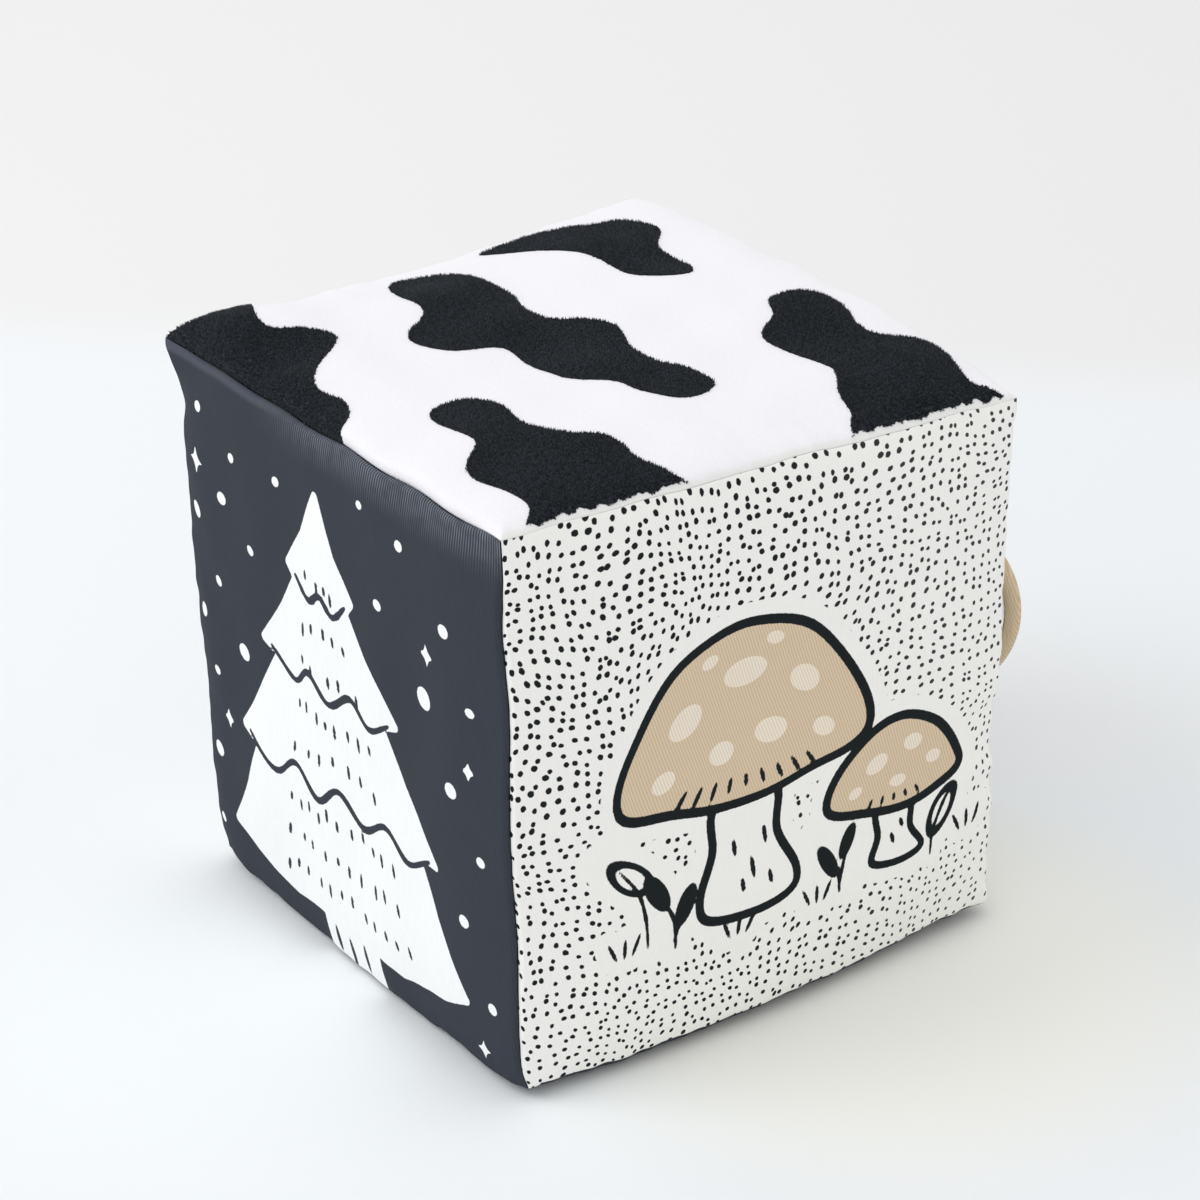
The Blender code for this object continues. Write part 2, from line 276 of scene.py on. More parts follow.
def addSewnCover(unit, quads):
    # Corners are held, everything else moves
    start = unit * half * sewing["scale"]
    start = start + np.random.RandomState(8).normal(size=start.shape) * sewing["uneven"]
    mesh = bpy.data.meshes.new("sewn cover")
    mesh.from_pydata(start.tolist(), [], quads.tolist())
    sewn = addObject("sewn cover", mesh)
    held = sewn.vertex_groups.new(name="corners")
    held.add(np.flatnonzero((np.abs(unit) > 0.999).all(axis=1)).tolist(), 1.0, "ADD")
    cloth = sewn.modifiers.new("cloth", "CLOTH")
    for key, value in clothSettings.items():
        setattr(cloth.settings, key, value)
    cloth.settings.effector_weights.gravity = 0
    cloth.collision_settings.distance_min = 0.8 * sewing["skin"]
    cloth.point_cache.frame_end = sewing["frames"]
    return sewn


def simulateFolds():
    # Heights of the small folds on each face: the simulated swell less the same swell smoothed,
    # which is common to both cloths along a seam
    n = sewing["cells"]
    s, t = np.meshgrid(np.linspace(-1, 1, n + 1), np.linspace(-1, 1, n + 1))
    flat = vectors(s, t, 1.0).reshape(-1, 3)
    every = np.concatenate([flat @ axesOf(face) for face in faceAxes])
    unit, which = np.unique(np.round(every, 6), axis=0, return_inverse=True)
    which = which.ravel()
    quads = which[np.concatenate([gridQuads(n, n) + k * len(flat) for k in range(6)])]
    former = addFormer(2 * half * sewing["scale"] - sewing["looseness"])
    sewn = addSewnCover(unit, quads)
    for step in range(1, sewing["frames"] + 1):
        bpy.context.scene.frame_set(step)
    ready = sewn.evaluated_get(bpy.context.evaluated_depsgraph_get())
    places = readVertices(ready.data, "co") / sewing["scale"]
    for used in (sewn, former):
        bpy.data.objects.remove(used)
    bpy.context.scene.frame_set(1)
    height = ((places - unit * half) * awayFrom(unit)).sum(axis=-1)
    ends = np.concatenate([quads[:, [k, (k + 1) % 4]] for k in range(4)])
    count = np.bincount(ends[:, 0], minlength=len(unit))
    smooth = height
    for _ in range(sewing["smoothing"]):
        around = np.bincount(ends[:, 0], smooth[ends[:, 1]], len(unit)) / count
        smooth = (smooth + around) / 2
    fine = height - smooth
    fine = np.clip(fine / np.percentile(np.abs(fine), 99), -1, 1) * sewing["deepest"]
    return dict(zip(faceAxes, fine[which].reshape(6, n + 1, n + 1)))


def foldHeight(face, s, t):
    # Catmull-Rom interpolation in a face's own grid, which keeps the values at its seams
    field, n = folds[face], sewing["cells"]
    total, bases, weights = 0, [], []
    for at in (t, s):
        at = (np.clip(at, -1, 1) + 1) / 2 * n
        base = np.minimum(at.astype(int), n - 1)
        f = at - base
        bases.append(base)
        weights.append((
            -f / 2 + f**2 - f**3 / 2,
            1 - 2.5 * f**2 + 1.5 * f**3,
            f / 2 + 2 * f**2 - 1.5 * f**3,
            (f**3 - f**2) / 2,
        ))
    for i in range(4):
        row = np.clip(bases[0] + i - 1, 0, n)
        for j in range(4):
            column = np.clip(bases[1] + j - 1, 0, n)
            total = total + weights[0][i] * weights[1][j] * field[row, column]
    return total


def lively(face, local, s, t):
    # From a face's own axes to the world, with the rolled seams, gathers and uneven filling.
    # Every part is continuous from one face to the next, so seams still meet
    axes = axesOf(face)
    fromS = half * (1 - np.abs(s))
    fromT = half * (1 - np.abs(t))
    flatS = vectors(np.sign(s) * half, t * half, half) @ axes
    flatT = vectors(s * half, np.sign(t) * half, half) @ axes
    near = np.minimum(fromS, fromT)
    ear = 1 - cover["earShare"] * np.exp(-((fromS + fromT) / cover["earSize"]) ** 2)
    sunk = cover["roll"] * ear * np.maximum(0, 1 - near / cover["rollWidth"]) ** 2
    world = local @ axes
    fromFrontTop = np.hypot(world[..., 1] + half, world[..., 2] - half)
    sunk = sunk * (1 - (1 - cover["flatSeam"]) * np.exp(-((fromFrontTop / cover["flatReach"]) ** 2)))
    for fromSeam, seam in ((fromS, flatS), (fromT, flatT)):
        ruck = smoothNoise(seam, cover["pleatSpacing"], 3)
        fromFar = np.hypot(seam[..., 0] - half, seam[..., 1] + half)
        upSeam = (seam[..., 2] - cover["puckerPlace"]) / cover["puckerReach"]
        more = cover["pucker"] * np.exp(-((fromFar / cover["puckerWidth"]) ** 2) - upSeam**2)
        sunk = sunk + (cover["pleat"] + more) * ruck * np.exp(-fromSeam / cover["pleatWidth"])
    if face == "top":
        x, y, tall, radius = cover["tuckedCorner"]
        plump = tall * np.exp(-((local[..., 0] - x) ** 2 + (local[..., 1] - y) ** 2) / radius**2)
        rise = (cover["puff"] + plump) * (1 - np.exp(-near / cover["puffWidth"]))
        local = local + np.array([0, 0, 1]) * rise[..., None]
    world = (local * (1 - sunk / half)[..., None]) @ axes
    out = awayFrom(world / half)
    inside = np.clip(near / (4 * cover["pleatWidth"]), cover["calm"], 1)
    slow = cover["swell"] * inside * smoothNoise(world, cover["swellSpacing"], 11) + foldHeight(face, s, t)
    if face in ("front", "top"):
        # These two cloths close on each other at their seam
        close = shift * np.exp(-((fromFrontTop / cover["shutReach"]) ** 2))
        world = world + close[..., None] * (np.array([0, -1, 1]) * (1 - np.abs(axes[2])))
    return settle(world + out * slow[..., None] + axes[2] * shift)


def facePoint(face, s, t):
    return lively(face, coverPoint(s, t), s, t)


def surfaceAt(face, s, t, step):
    # Points on a cover and the directions out of it, from two near points
    here = facePoint(face, s, t)
    east, north = facePoint(face, s + step, t) - here, facePoint(face, s, t + step) - here
    return here, unitOf(np.cross(east, north))


def gridQuads(rows, columns):
    # Quads of a grid of (rows + 1) by (columns + 1) points, facing the viewer when s runs right
    first = (np.arange(rows)[:, None] * (columns + 1) + np.arange(columns)).ravel()
    return np.stack([first, first + 1, first + columns + 2, first + columns + 1], axis=-1)


def gridEdge(rows, columns):
    # Point numbers once round a grid, anticlockwise
    width = columns + 1
    return np.concatenate([
        np.arange(columns),
        columns + width * np.arange(rows),
        rows * width + columns - np.arange(columns),
        (rows - np.arange(rows)) * width,
    ])


def bandQuads(ringA, ringB):
    # Quads from one ring of points down to the next
    nextA, nextB = np.roll(ringA, -1), np.roll(ringB, -1)
    return np.stack([nextA, ringA, ringB, nextB], axis=-1)


def capTriangles(ring, middle):
    return np.stack([np.roll(ring, -1), ring, np.full_like(ring, middle)], axis=-1)


def makePiece(name, points, faces, look, values=None):
    # One mesh object at the origin, from arrays of points and faces, smooth shaded
    mesh = bpy.data.meshes.new(name)
    lists = [row for block in faces for row in np.asarray(block).tolist()]
    mesh.from_pydata(np.asarray(points, float).reshape(-1, 3).tolist(), [], lists)
    for key, numbers in (values or {}).items():
        kind = "FLOAT_VECTOR" if np.ndim(numbers) == 2 else "FLOAT"
        field = "vector" if kind == "FLOAT_VECTOR" else "value"
        attribute = mesh.attributes.new(key, kind, "POINT")
        attribute.data.foreach_set(field, np.asarray(numbers, np.float32).ravel())
    mesh.shade_smooth()
    mesh.materials.append(look)
    mesh.validate()
    return addObject(name, mesh)


# Colours and shader parts


def paint(red, green, blue):
    # A colour as seen on a screen, 0 to 255, as the linear values that a shader takes
    return tuple(
        (c / 255 / 12.92) if c <= 10 else ((c / 255 + 0.055) / 1.055) ** 2.4 for c in (red, green, blue)
    ) + (1,)


class Graph:
    # One node tree. What a node is given may be a value or another node's output

    def __init__(self, tree):
        self.tree = tree

    def node(self, kind, inputs=None, **settings):
        made = self.tree.nodes.new("ShaderNode" + kind)
        for key, value in settings.items():
            setattr(made, key, value)
        for key, value in (inputs or {}).items():
            if isinstance(value, bpy.types.NodeSocket):
                self.link(value, made.inputs[key])
            else:
                made.inputs[key].default_value = value
        return made

    def calc(self, operation, *values, clamp=False):
        return self.node("Math", dict(enumerate(values)), operation=operation, use_clamp=clamp).outputs[0]

    def times(self, *values):
        return self.calc("MULTIPLY", *values)

    def timesPlus(self, *values):
        return self.calc("MULTIPLY_ADD", *values)

    def vector(self, operation, *values):
        made = self.node("VectorMath", dict(enumerate(values)), operation=operation)
        return made.outputs["Value" if operation in ("DOT_PRODUCT", "DISTANCE") else "Vector"]

    def scaled(self, vector, scale):
        return self.node("VectorMath", {0: vector, "Scale": scale}, operation="SCALE").outputs[0]

    def mix(self, share, first, second):
        return self.node("Mix", {0: share, 6: first, 7: second}, data_type="RGBA").outputs[2]

    def ramp(self, value, low, high, toLow=0.0, toHigh=1.0):
        inputs = {"Value": value, "From Min": low, "From Max": high, "To Min": toLow, "To Max": toHigh}
        return self.node("MapRange", inputs, interpolation_type="SMOOTHSTEP").outputs[0]

    def noise(self, place, scale, detail):
        return self.node("TexNoise", {"Vector": place, "Scale": scale, "Detail": detail}).outputs

    def apart(self, vector):
        return self.node("SeparateXYZ", {0: vector}).outputs

    def attribute(self, name, output="Fac"):
        return self.node("Attribute", attribute_name=name).outputs[output]

    def place(self):
        return self.node("TexCoord").outputs["Object"]

    def use(self, group, **inputs):
        return self.node("Group", inputs, node_tree=group).outputs

    def link(self, value, socket):
        self.tree.links.new(value, socket)

    def base(self, colour):
        self.link(colour, self.shader["Base Color"])

    def bump(self, height, strength, distance):
        made = self.node("Bump", {"Height": height, "Strength": strength, "Distance": distance})
        self.link(made.outputs[0], self.shader["Normal"])


def newGroup(name, inputs, outputs):
    # A shader node group with named sockets: name=default in, names out
    g = Graph(bpy.data.node_groups.new(name, "ShaderNodeTree"))
    sockets = g.tree.interface
    sockets.new_socket("Cloth", in_out="INPUT", socket_type="NodeSocketVector")
    for label, default in inputs.items():
        socket = sockets.new_socket(label, in_out="INPUT", socket_type="NodeSocketFloat")
        socket.default_value = default
    for label in outputs:
        sockets.new_socket(label, in_out="OUTPUT", socket_type="NodeSocketFloat")
    return g, g.tree.nodes.new("NodeGroupInput").outputs, g.tree.nodes.new("NodeGroupOutput").inputs


def newMaterial(name, roughness=0.9, **fixed):
    made = bpy.data.materials.new(name)
    made.use_nodes = True
    g = Graph(made.node_tree)
    g.material, g.shader = made, g.tree.nodes["Principled BSDF"].inputs
    for label, value in dict(fixed, Roughness=roughness).items():
        g.shader[label.replace("_", " ")].default_value = value
    return g


# In millimetres on the cloth
twillLook = dict(
    pitch=0.8,
    lean=0.35,
    wander=0.25,  # how far a noise bends the ribs
    wanderScale=0.35,
    crossPitch=0.45,
    crossShare=0.35,
    slubs=(2.2, 0.12, 1),  # uneven yarns: short across the cloth, long up it
)


def twillGroup():
    # Diagonal ribs: a sine across the ribs, with a fainter sine for the yarns that cross them
    given = dict(Pitch=twillLook["pitch"], Lean=twillLook["lean"], Wander=twillLook["wander"])
    g, given, result = newGroup("twill weave", given, ("Height", "Slub"))
    u, v, _ = g.apart(given["Cloth"])
    slow = g.noise(given["Cloth"], twillLook["wanderScale"], 2.0)[0]
    bent = g.timesPlus(slow, given["Wander"], g.timesPlus(v, given["Lean"], u))
    rib = g.calc("SINE", g.calc("DIVIDE", g.times(bent, 2 * math.pi), given["Pitch"]))
    cross = g.calc("SINE", g.calc("DIVIDE", g.times(v, 2 * math.pi), twillLook["crossPitch"]))
    weave = g.timesPlus(g.times(cross, rib), twillLook["crossShare"], rib)
    stretched = g.node("Mapping", {"Vector": given["Cloth"], "Scale": twillLook["slubs"]}).outputs[0]
    g.link(g.timesPlus(weave, 0.5, 0.5), result["Height"])
    g.link(g.noise(stretched, 1.0, 3.0)[0], result["Slub"])
    return g.tree


dotLook = dict(
    spacing=2.85,
    size=0.71,
    jitter=0.6,
    warp=12.0,  # how far a slow noise shifts the lattice
    warpScale=0.022,
    turn=5.0,  # how far the ovals turn with a slow noise, and each on its own
    turnScale=0.12,
    ownTurn=0.9,
    narrow=1.2,
    ragged=0.34,
    raggedScale=1.6,
    smallest=0.85,
    range=0.3,
    soft=0.09,
)


def dotsGroup():
    # Hand-dotted ground: one small oval in each cell of a jittered, gently warped lattice, each
    # turned and sized by itself. Ink thins out to the right and grows a little to the top
    look = dotLook
    given = dict(Spacing=look["spacing"], Size=look["size"], Warp=look["warp"])
    g, given, result = newGroup("hand dots", given, ["Mask"])
    cloth, spacing = given["Cloth"], given["Spacing"]
    u, v, _ = g.apart(cloth)
    offset = g.vector("SUBTRACT", g.noise(cloth, look["warpScale"], 1.0)["Color"], (0.5, 0.5, 0.5))
    warped = g.vector("ADD", cloth, g.scaled(offset, given["Warp"]))
    place = g.scaled(warped, g.calc("DIVIDE", 1.0, spacing))
    lattice = {"Vector": place, "Scale": 1.0, "Randomness": look["jitter"]}
    cells = g.node("TexVoronoi", lattice, voronoi_dimensions="2D").outputs
    away = g.scaled(g.vector("SUBTRACT", place, cells["Position"]), spacing)
    chance = g.apart(cells["Color"])
    lean = g.noise(cells["Position"], look["turnScale"], 0.0)[0]
    turn = g.timesPlus(lean, look["turn"], g.times(chance[0], look["ownTurn"]))
    turned = g.node("VectorRotate", {"Vector": away, "Angle": turn}, rotation_type="Z_AXIS").outputs[0]
    x, y, _ = g.apart(turned)
    x = g.times(x, look["narrow"])
    reach = g.calc("SQRT", g.calc("ADD", g.times(x, x), g.times(y, y)))
    uneven = g.noise(cloth, look["raggedScale"], 1.0)[0]
    reach = g.timesPlus(uneven, look["ragged"], g.calc("SUBTRACT", reach, look["ragged"] / 2))
    size = g.times(given["Size"], g.timesPlus(chance[1], look["range"], look["smallest"]))
    size = g.times(size, g.ramp(v, 0.0, 130.0, 0.9, 1.04))
    size = g.times(size, g.ramp(u, 50.0, 140.0, 1.0, 0.84))
    faint = g.ramp(u, 60.0, 140.0, 1.0, 0.95)
    mask = g.ramp(g.calc("SUBTRACT", reach, size), look["soft"], -look["soft"])
    g.link(g.times(mask, faint), result["Mask"])
    return g.tree


def printGroup():
    # The edge of a printed shape: where a distance in millimetres falls below zero, ragged where
    # the ink meets the weave
    g, given, result = newGroup("printed edge", dict(Distance=1.0, Ragged=0.28), ["Mask"])
    away = g.calc("SUBTRACT", g.noise(given["Cloth"], 1.7, 2.0)[0], 0.5)
    g.link(g.ramp(g.timesPlus(away, given["Ragged"], given["Distance"]), 0.1, -0.1), result["Mask"])
    return g.tree


twill, handDots, printEdge = twillGroup(), dotsGroup(), printGroup()
print("shader groups made")

colours = dict(
    white=paint(244, 243, 239),
    # The valley colours and tanShade are painted shade in the valleys between the twill's ribs
    whiteValley=paint(240, 239, 235),
    ink=paint(27, 32, 34),
    tan=paint(222, 203, 176),
    tanShade=paint(198, 176, 146),
    spot=paint(240, 232, 220),
    charcoal=paint(60, 64, 72),
    charcoalValley=paint(55, 59, 67),
    print=paint(246, 247, 247),
    printValley=paint(241, 243, 243),
    flap=paint(216, 197, 169),
)


ribHighlightLook = dict(
    pitch=0.82,
    top=(129.5, 140.5),  # painted cord highlights show from here up, in millimetres up the panel
    right=(35.0, 75.0),
    edge=(136.6, 138.2),
    edgeLeft=(62.0, 40.0),
    # Painted highlight colours, for the cords and for the turned edge
    cord=paint(128, 132, 144),
    lit=paint(98, 101, 113),
)


def addRibHighlights(g, cloth, colour):
    # Painted highlights: close under its top seam the dark cloth's cords are painted as pale streaks
    # where the light grazes them, and its turned edge is painted lighter where it catches the light
    look = ribHighlightLook
    u, v, _ = g.apart(cloth)
    cord = g.timesPlus(g.calc("SINE", g.times(u, 2 * math.pi / look["pitch"])), 0.5, 0.5)
    fleck = g.ramp(g.noise(cloth, 0.25, 1.0)[0], 0.3, 0.6, 0.55)
    highlightReach = g.times(g.ramp(v, *look["top"]), g.ramp(u, *look["right"]))
    colour = g.mix(g.times(g.times(g.calc("POWER", cord, 2.0), fleck), highlightReach), colour, look["cord"])
    edge = g.times(g.ramp(v, *look["edge"]), g.ramp(u, *look["edgeLeft"]))
    return g.mix(g.times(edge, 0.45), colour, look["lit"])


def clothMaterial(
    name, ground, rib, prints=(), dots=False, ribs=False, strength=0.35, slub=0.06,
    pitch=twillLook["pitch"], lean=twillLook["lean"],
):
    # Printed twill: ground colour with painted shade, a darker colour, in the valleys between ribs,
    # then each print laid on in turn as (attribute, colour, its painted shade between its ribs)
    g = newMaterial(name, 0.92, Specular_IOR_Level=0.12)
    cloth = g.attribute("cloth", "Vector")
    weave = g.use(twill, Cloth=cloth, Pitch=pitch, Lean=lean)
    # Painted shade: the colour darkens towards the second colour in the valleys between ribs
    valleyShade = g.times(g.calc("SUBTRACT", 1.0, weave["Height"]), 0.9)
    colour = g.mix(valleyShade, ground, rib)
    if dots:
        clear = g.ramp(g.attribute("halo"), -0.15, 0.15)
        colour = g.mix(g.times(g.use(handDots, Cloth=cloth)["Mask"], clear), colour, colours["ink"])
    for key, face, between in prints:
        mask = g.use(printEdge, Distance=g.attribute(key), Cloth=cloth)["Mask"]
        colour = g.mix(mask, colour, g.mix(valleyShade, face, between))
    # Painted highlights on the cords and the turned edge under the top seam
    if ribs:
        colour = addRibHighlights(g, cloth, colour)
    uneven = g.ramp(weave["Slub"], 0.3, 0.75, 1 - slub, 1 + slub)
    g.base(g.scaled(colour, uneven))
    g.bump(g.timesPlus(weave["Slub"], 0.5, weave["Height"]), strength, 0.00012)
    return g.material


plushLook = dict(
    fibres=1500.0,
    # Tuft colours at root and tip: the darker root is painted shade, the lighter tip painted highlight
    black=(paint(28, 31, 35), paint(63, 69, 76)),  # at a tuft's root and tip
    white=(paint(236, 235, 239), paint(240, 239, 243)),
    rim=paint(234, 234, 231),
    soft=0.16,  # a blotch's edge, in millimetres
    flat=0.9,  # share of the cloth's own direction in a tuft's shading
)


def plushMaterial(name):
    # Short pile: white, or black where the blotch distance is below zero, with each tuft's own
    # tone, painted darker at its root as shade and lighter at its tip as highlight. Along the front
    # seam the front cloth shows. A tuft is lit mostly as the cloth it stands on
    look = plushLook
    g = newMaterial(name, 0.95, Specular_IOR_Level=0.1, Sheen_Weight=0.06, Sheen_Roughness=0.5)
    fibre = g.noise(g.place(), look["fibres"], 2.0)[0]
    tone = g.calc("ADD", g.attribute("tone"), g.ramp(fibre, 0.35, 0.7, -0.3, 0.3), clamp=True)
    dark, pale = g.mix(tone, *look["black"]), g.mix(tone, *look["white"])
    pale = g.mix(g.ramp(g.attribute("rim"), 0.5, -0.5), pale, look["rim"])
    edge = g.timesPlus(g.calc("SUBTRACT", fibre, 0.5), 0.5, g.attribute("blotch"))
    g.base(g.mix(g.ramp(edge, look["soft"], -look["soft"]), pale, dark))
    own = g.node("Bump", {"Height": fibre, "Strength": 0.35, "Distance": 0.0003}).outputs[0]
    share = g.times(g.attribute("tuft"), look["flat"])
    skin = g.attribute("skin", "Vector")
    lit = g.node("Mix", {0: share, 4: own, 5: skin}, data_type="VECTOR").outputs[1]
    g.link(g.vector("NORMALIZE", lit), g.shader["Normal"])
    return g.material


# Drawing in millimetres on a panel, as signed distances that are negative inside


def smoothPath(points, closed=False, steps=6):
    # A Catmull-Rom curve through the given points
    p = np.array(points, float)
    if closed:
        p = np.vstack([p[-1], p, p[0], p[1]])
    else:
        p = np.vstack([2 * p[0] - p[1], p, 2 * p[-1] - p[-2]])
    u = np.linspace(0, 1, steps, endpoint=False)[:, None]
    a, b, c, d = p[:-3], p[1:-2], p[2:-1], p[3:]
    parts = [
        0.5 * (2 * b[i] + (c[i] - a[i]) * u + (2 * a[i] - 5 * b[i] + 4 * c[i] - d[i]) * u**2
               + (3 * b[i] - a[i] - 3 * c[i] + d[i]) * u**3)
        for i in range(len(a))
    ]
    path = np.vstack(parts)
    return path if closed else np.vstack([path, p[-2]])


def lineDistance(u, v, path, closed=False):
    # Distance to a chain of straight pieces, and how far along the chain the nearest point is
    best, where = np.full(u.shape, 1e9), np.zeros(u.shape)
    ends = np.vstack([path, path[:1]]) if closed else path
    count = len(ends) - 1
    for i in range(count):
        (x, y), (dx, dy) = ends[i], ends[i + 1] - ends[i]
        share = np.clip(((u - x) * dx + (v - y) * dy) / (dx * dx + dy * dy + 1e-9), 0, 1)
        away = np.hypot(u - x - share * dx, v - y - share * dy)
        nearer = away < best
        best = np.where(nearer, away, best)
        where = np.where(nearer, (i + share) / count, where)
    return best, where


def stroke(u, v, points, width, taper=0.5, closed=False, seed=0):
    # A brush line: its half width swells in the middle and wavers a little along it
    path = smoothPath(points, closed)
    away, along = lineDistance(u, v, path, closed)
    swell = 1 - taper * np.abs(2 * along - 1) ** 3 if not closed else np.ones_like(along)
    waver = 1 + 0.1 * np.sin(along * 23 + seed) + 0.07 * np.sin(along * 61 + 2 * seed)
    return away - width / 2 * swell * waver


def filled(u, v, points, smooth=True, steps=6):
    # A closed outline: distance to it, negative where the crossing count is odd
    path = smoothPath(points, True, steps) if smooth else np.array(points, float)
    away, _ = lineDistance(u, v, path, True)
    inside = np.zeros(u.shape, bool)
    for (x0, y0), (x1, y1) in zip(path, np.roll(path, -1, axis=0)):
        if y0 != y1:
            crosses = (y0 > v) != (y1 > v)
            inside ^= crosses & (u < (x1 - x0) * (v - y0) / (y1 - y0) + x0)
    return np.where(inside, -away, away)


def oval(u, v, x, y, across, tall, lean=0.0):
    # An ellipse leaning by an angle in degrees, by its scaled radius
    turn = math.radians(lean)
    a = (u - x) * math.cos(turn) + (v - y) * math.sin(turn)
    b = (v - y) * math.cos(turn) - (u - x) * math.sin(turn)
    return (np.hypot(a / across, b / tall) - 1) * min(across, tall)


def union(*distances):
    return np.minimum.reduce(distances)


# Print on the front panel: two mushrooms among leaves, in millimetres from the panel's lower left

mushroomPrint = dict(
    bigCap=(
        (27, 66), (31, 84), (44, 99), (62, 105), (80, 99), (93, 84), (97, 67), (80, 61), (62, 59), (44, 61),
    ),
    bigStem=((53, 60), (52, 48), (48, 37), (50, 31), (62, 29), (74, 31), (76, 37), (71, 48), (70, 60)),
    smallCap=(
        (86, 47), (89, 57), (98, 65), (108, 67), (118, 62), (125, 52), (126, 46), (116, 42), (106, 41),
        (96, 43),
    ),
    smallLine=2.0,
    smallStem=((101, 42), (101, 35), (99, 29), (106, 27), (114, 29), (111, 35), (111, 42)),
    # Each spot: x, y, half its length, half its width, lean in degrees
    spots=(
        (45, 84, 5.2, 3.6, 35), (62, 92, 6.0, 3.8, 5), (79, 85, 4.6, 3.4, -35), (55, 73, 3.6, 2.8, 10),
        (69, 75, 4.4, 3.0, -8), (84, 71, 3.4, 2.4, -20), (39, 70, 3.2, 2.5, 30), (70, 99, 2.6, 1.6, -20),
        (52, 97.5, 2.4, 1.6, 25), (100, 56, 3.4, 2.4, 30), (111, 59, 3.0, 2.2, -15),
        (107, 49, 2.6, 1.8, 0), (118, 52, 2.4, 1.8, -30), (94, 49.5, 2.0, 1.5, 30),
    ),
    darkLeaves=((36, 43, 6.4, 118), (44, 37, 5.6, 62), (86, 34, 5.4, 120), (92, 37.5, 4.6, 65)),
    stalks=(
        ((41, 27), (40.5, 34), (37, 42)), ((40.5, 29), (43, 35), (45, 40)),
        ((89.5, 25), (89, 31), (86, 36)), ((89.5, 27), (91, 33), (93, 39)),
    ),
    openLeaves=((29, 50, 6.5, 3.1, 140), (121, 36, 6, 2.8, 55)),
    longStalks=(((33, 30), (32.5, 38), (30.5, 46), (26, 53)), ((117, 25), (118, 31), (122, 38), (124, 40.5))),
    stemMarks=((58, 50, 5), (63, 44, 6), (67, 51, 5), (60, 39, 4), (68, 39, 4), (105, 35, 3), (108, 38, 2.5)),
    grass=((24, 30), (80, 24), (127, 28), (57, 24)),
    outline=2.4,
    thin=1.3,
    fine=1.1,
    halo=3.6,
)


def drawMushrooms(u, v):
    # Returns the distances to ink, tan, pale spots and the halo that keeps the dots off
    p = mushroomPrint
    bigCap, smallCap = filled(u, v, p["bigCap"]), filled(u, v, p["smallCap"])
    bigStem, smallStem = filled(u, v, p["bigStem"]), filled(u, v, p["smallStem"])
    pale = union(*(oval(u, v, *spot) for spot in p["spots"]))
    tan = union(bigCap, smallCap)
    ink = [np.abs(shape) - p["outline"] / 2 for shape in (bigCap, smallCap)]
    for stem, cap, line in ((bigStem, bigCap, p["outline"]), (smallStem, smallCap, p["smallLine"])):
        ink.append(np.maximum(np.abs(stem) - line / 2, -cap))
    # Gills under the caps
    for k in range(9):
        x = 41 + 5.2 * k
        foot, head = (x, 61.5 - 0.5 * abs(k - 4) + 1), (62 + (x - 62) * 0.8, 66.5)
        ink.append(stroke(u, v, (foot, head), 1.2, 0.9, seed=k))
    for k in range(5):
        x = 98 + 4 * k
        ink.append(stroke(u, v, ((x, 43), (106 + (x - 106) * 0.85, 46.0)), 1.0, 0.9, seed=k))
    # Short marks on the stems
    for x, y, rise in p["stemMarks"]:
        ink.append(stroke(u, v, ((x, y), (x + 0.5, y - rise)), p["thin"], 0.8, seed=x))
    # Leaves: dark ones with a stalk, and open ones with a vein
    for x, y, size, lean in p["darkLeaves"]:
        ink.append(oval(u, v, x, y, size, size * 0.42, lean))
    for path in p["stalks"]:
        ink.append(stroke(u, v, path, p["fine"], 0.4))
    openLeaves = [oval(u, v, *leaf) for leaf in p["openLeaves"]]
    for leaf in openLeaves:
        ink.append(np.abs(leaf) - 0.75)
    for path in p["longStalks"]:
        ink.append(stroke(u, v, path, p["fine"], 0.5))
    for x, y in p["grass"]:
        for k, lean in enumerate((-2.2, 0.3, 2.4)):
            blade = ((x + k * 2.2, y), (x + k * 2.2 + lean, y + 5.0))
            ink.append(stroke(u, v, blade, p["fine"], 0.7, seed=k))
    inked = union(*ink)
    halo = union(inked, tan, bigStem, smallStem, *openLeaves) - p["halo"]
    return dict(ink=inked, tan=tan, spot=np.maximum(pale, tan + 1.2), halo=halo)


# Print on the left panel: a snowy fir with marks for its branches, stars and falling snow

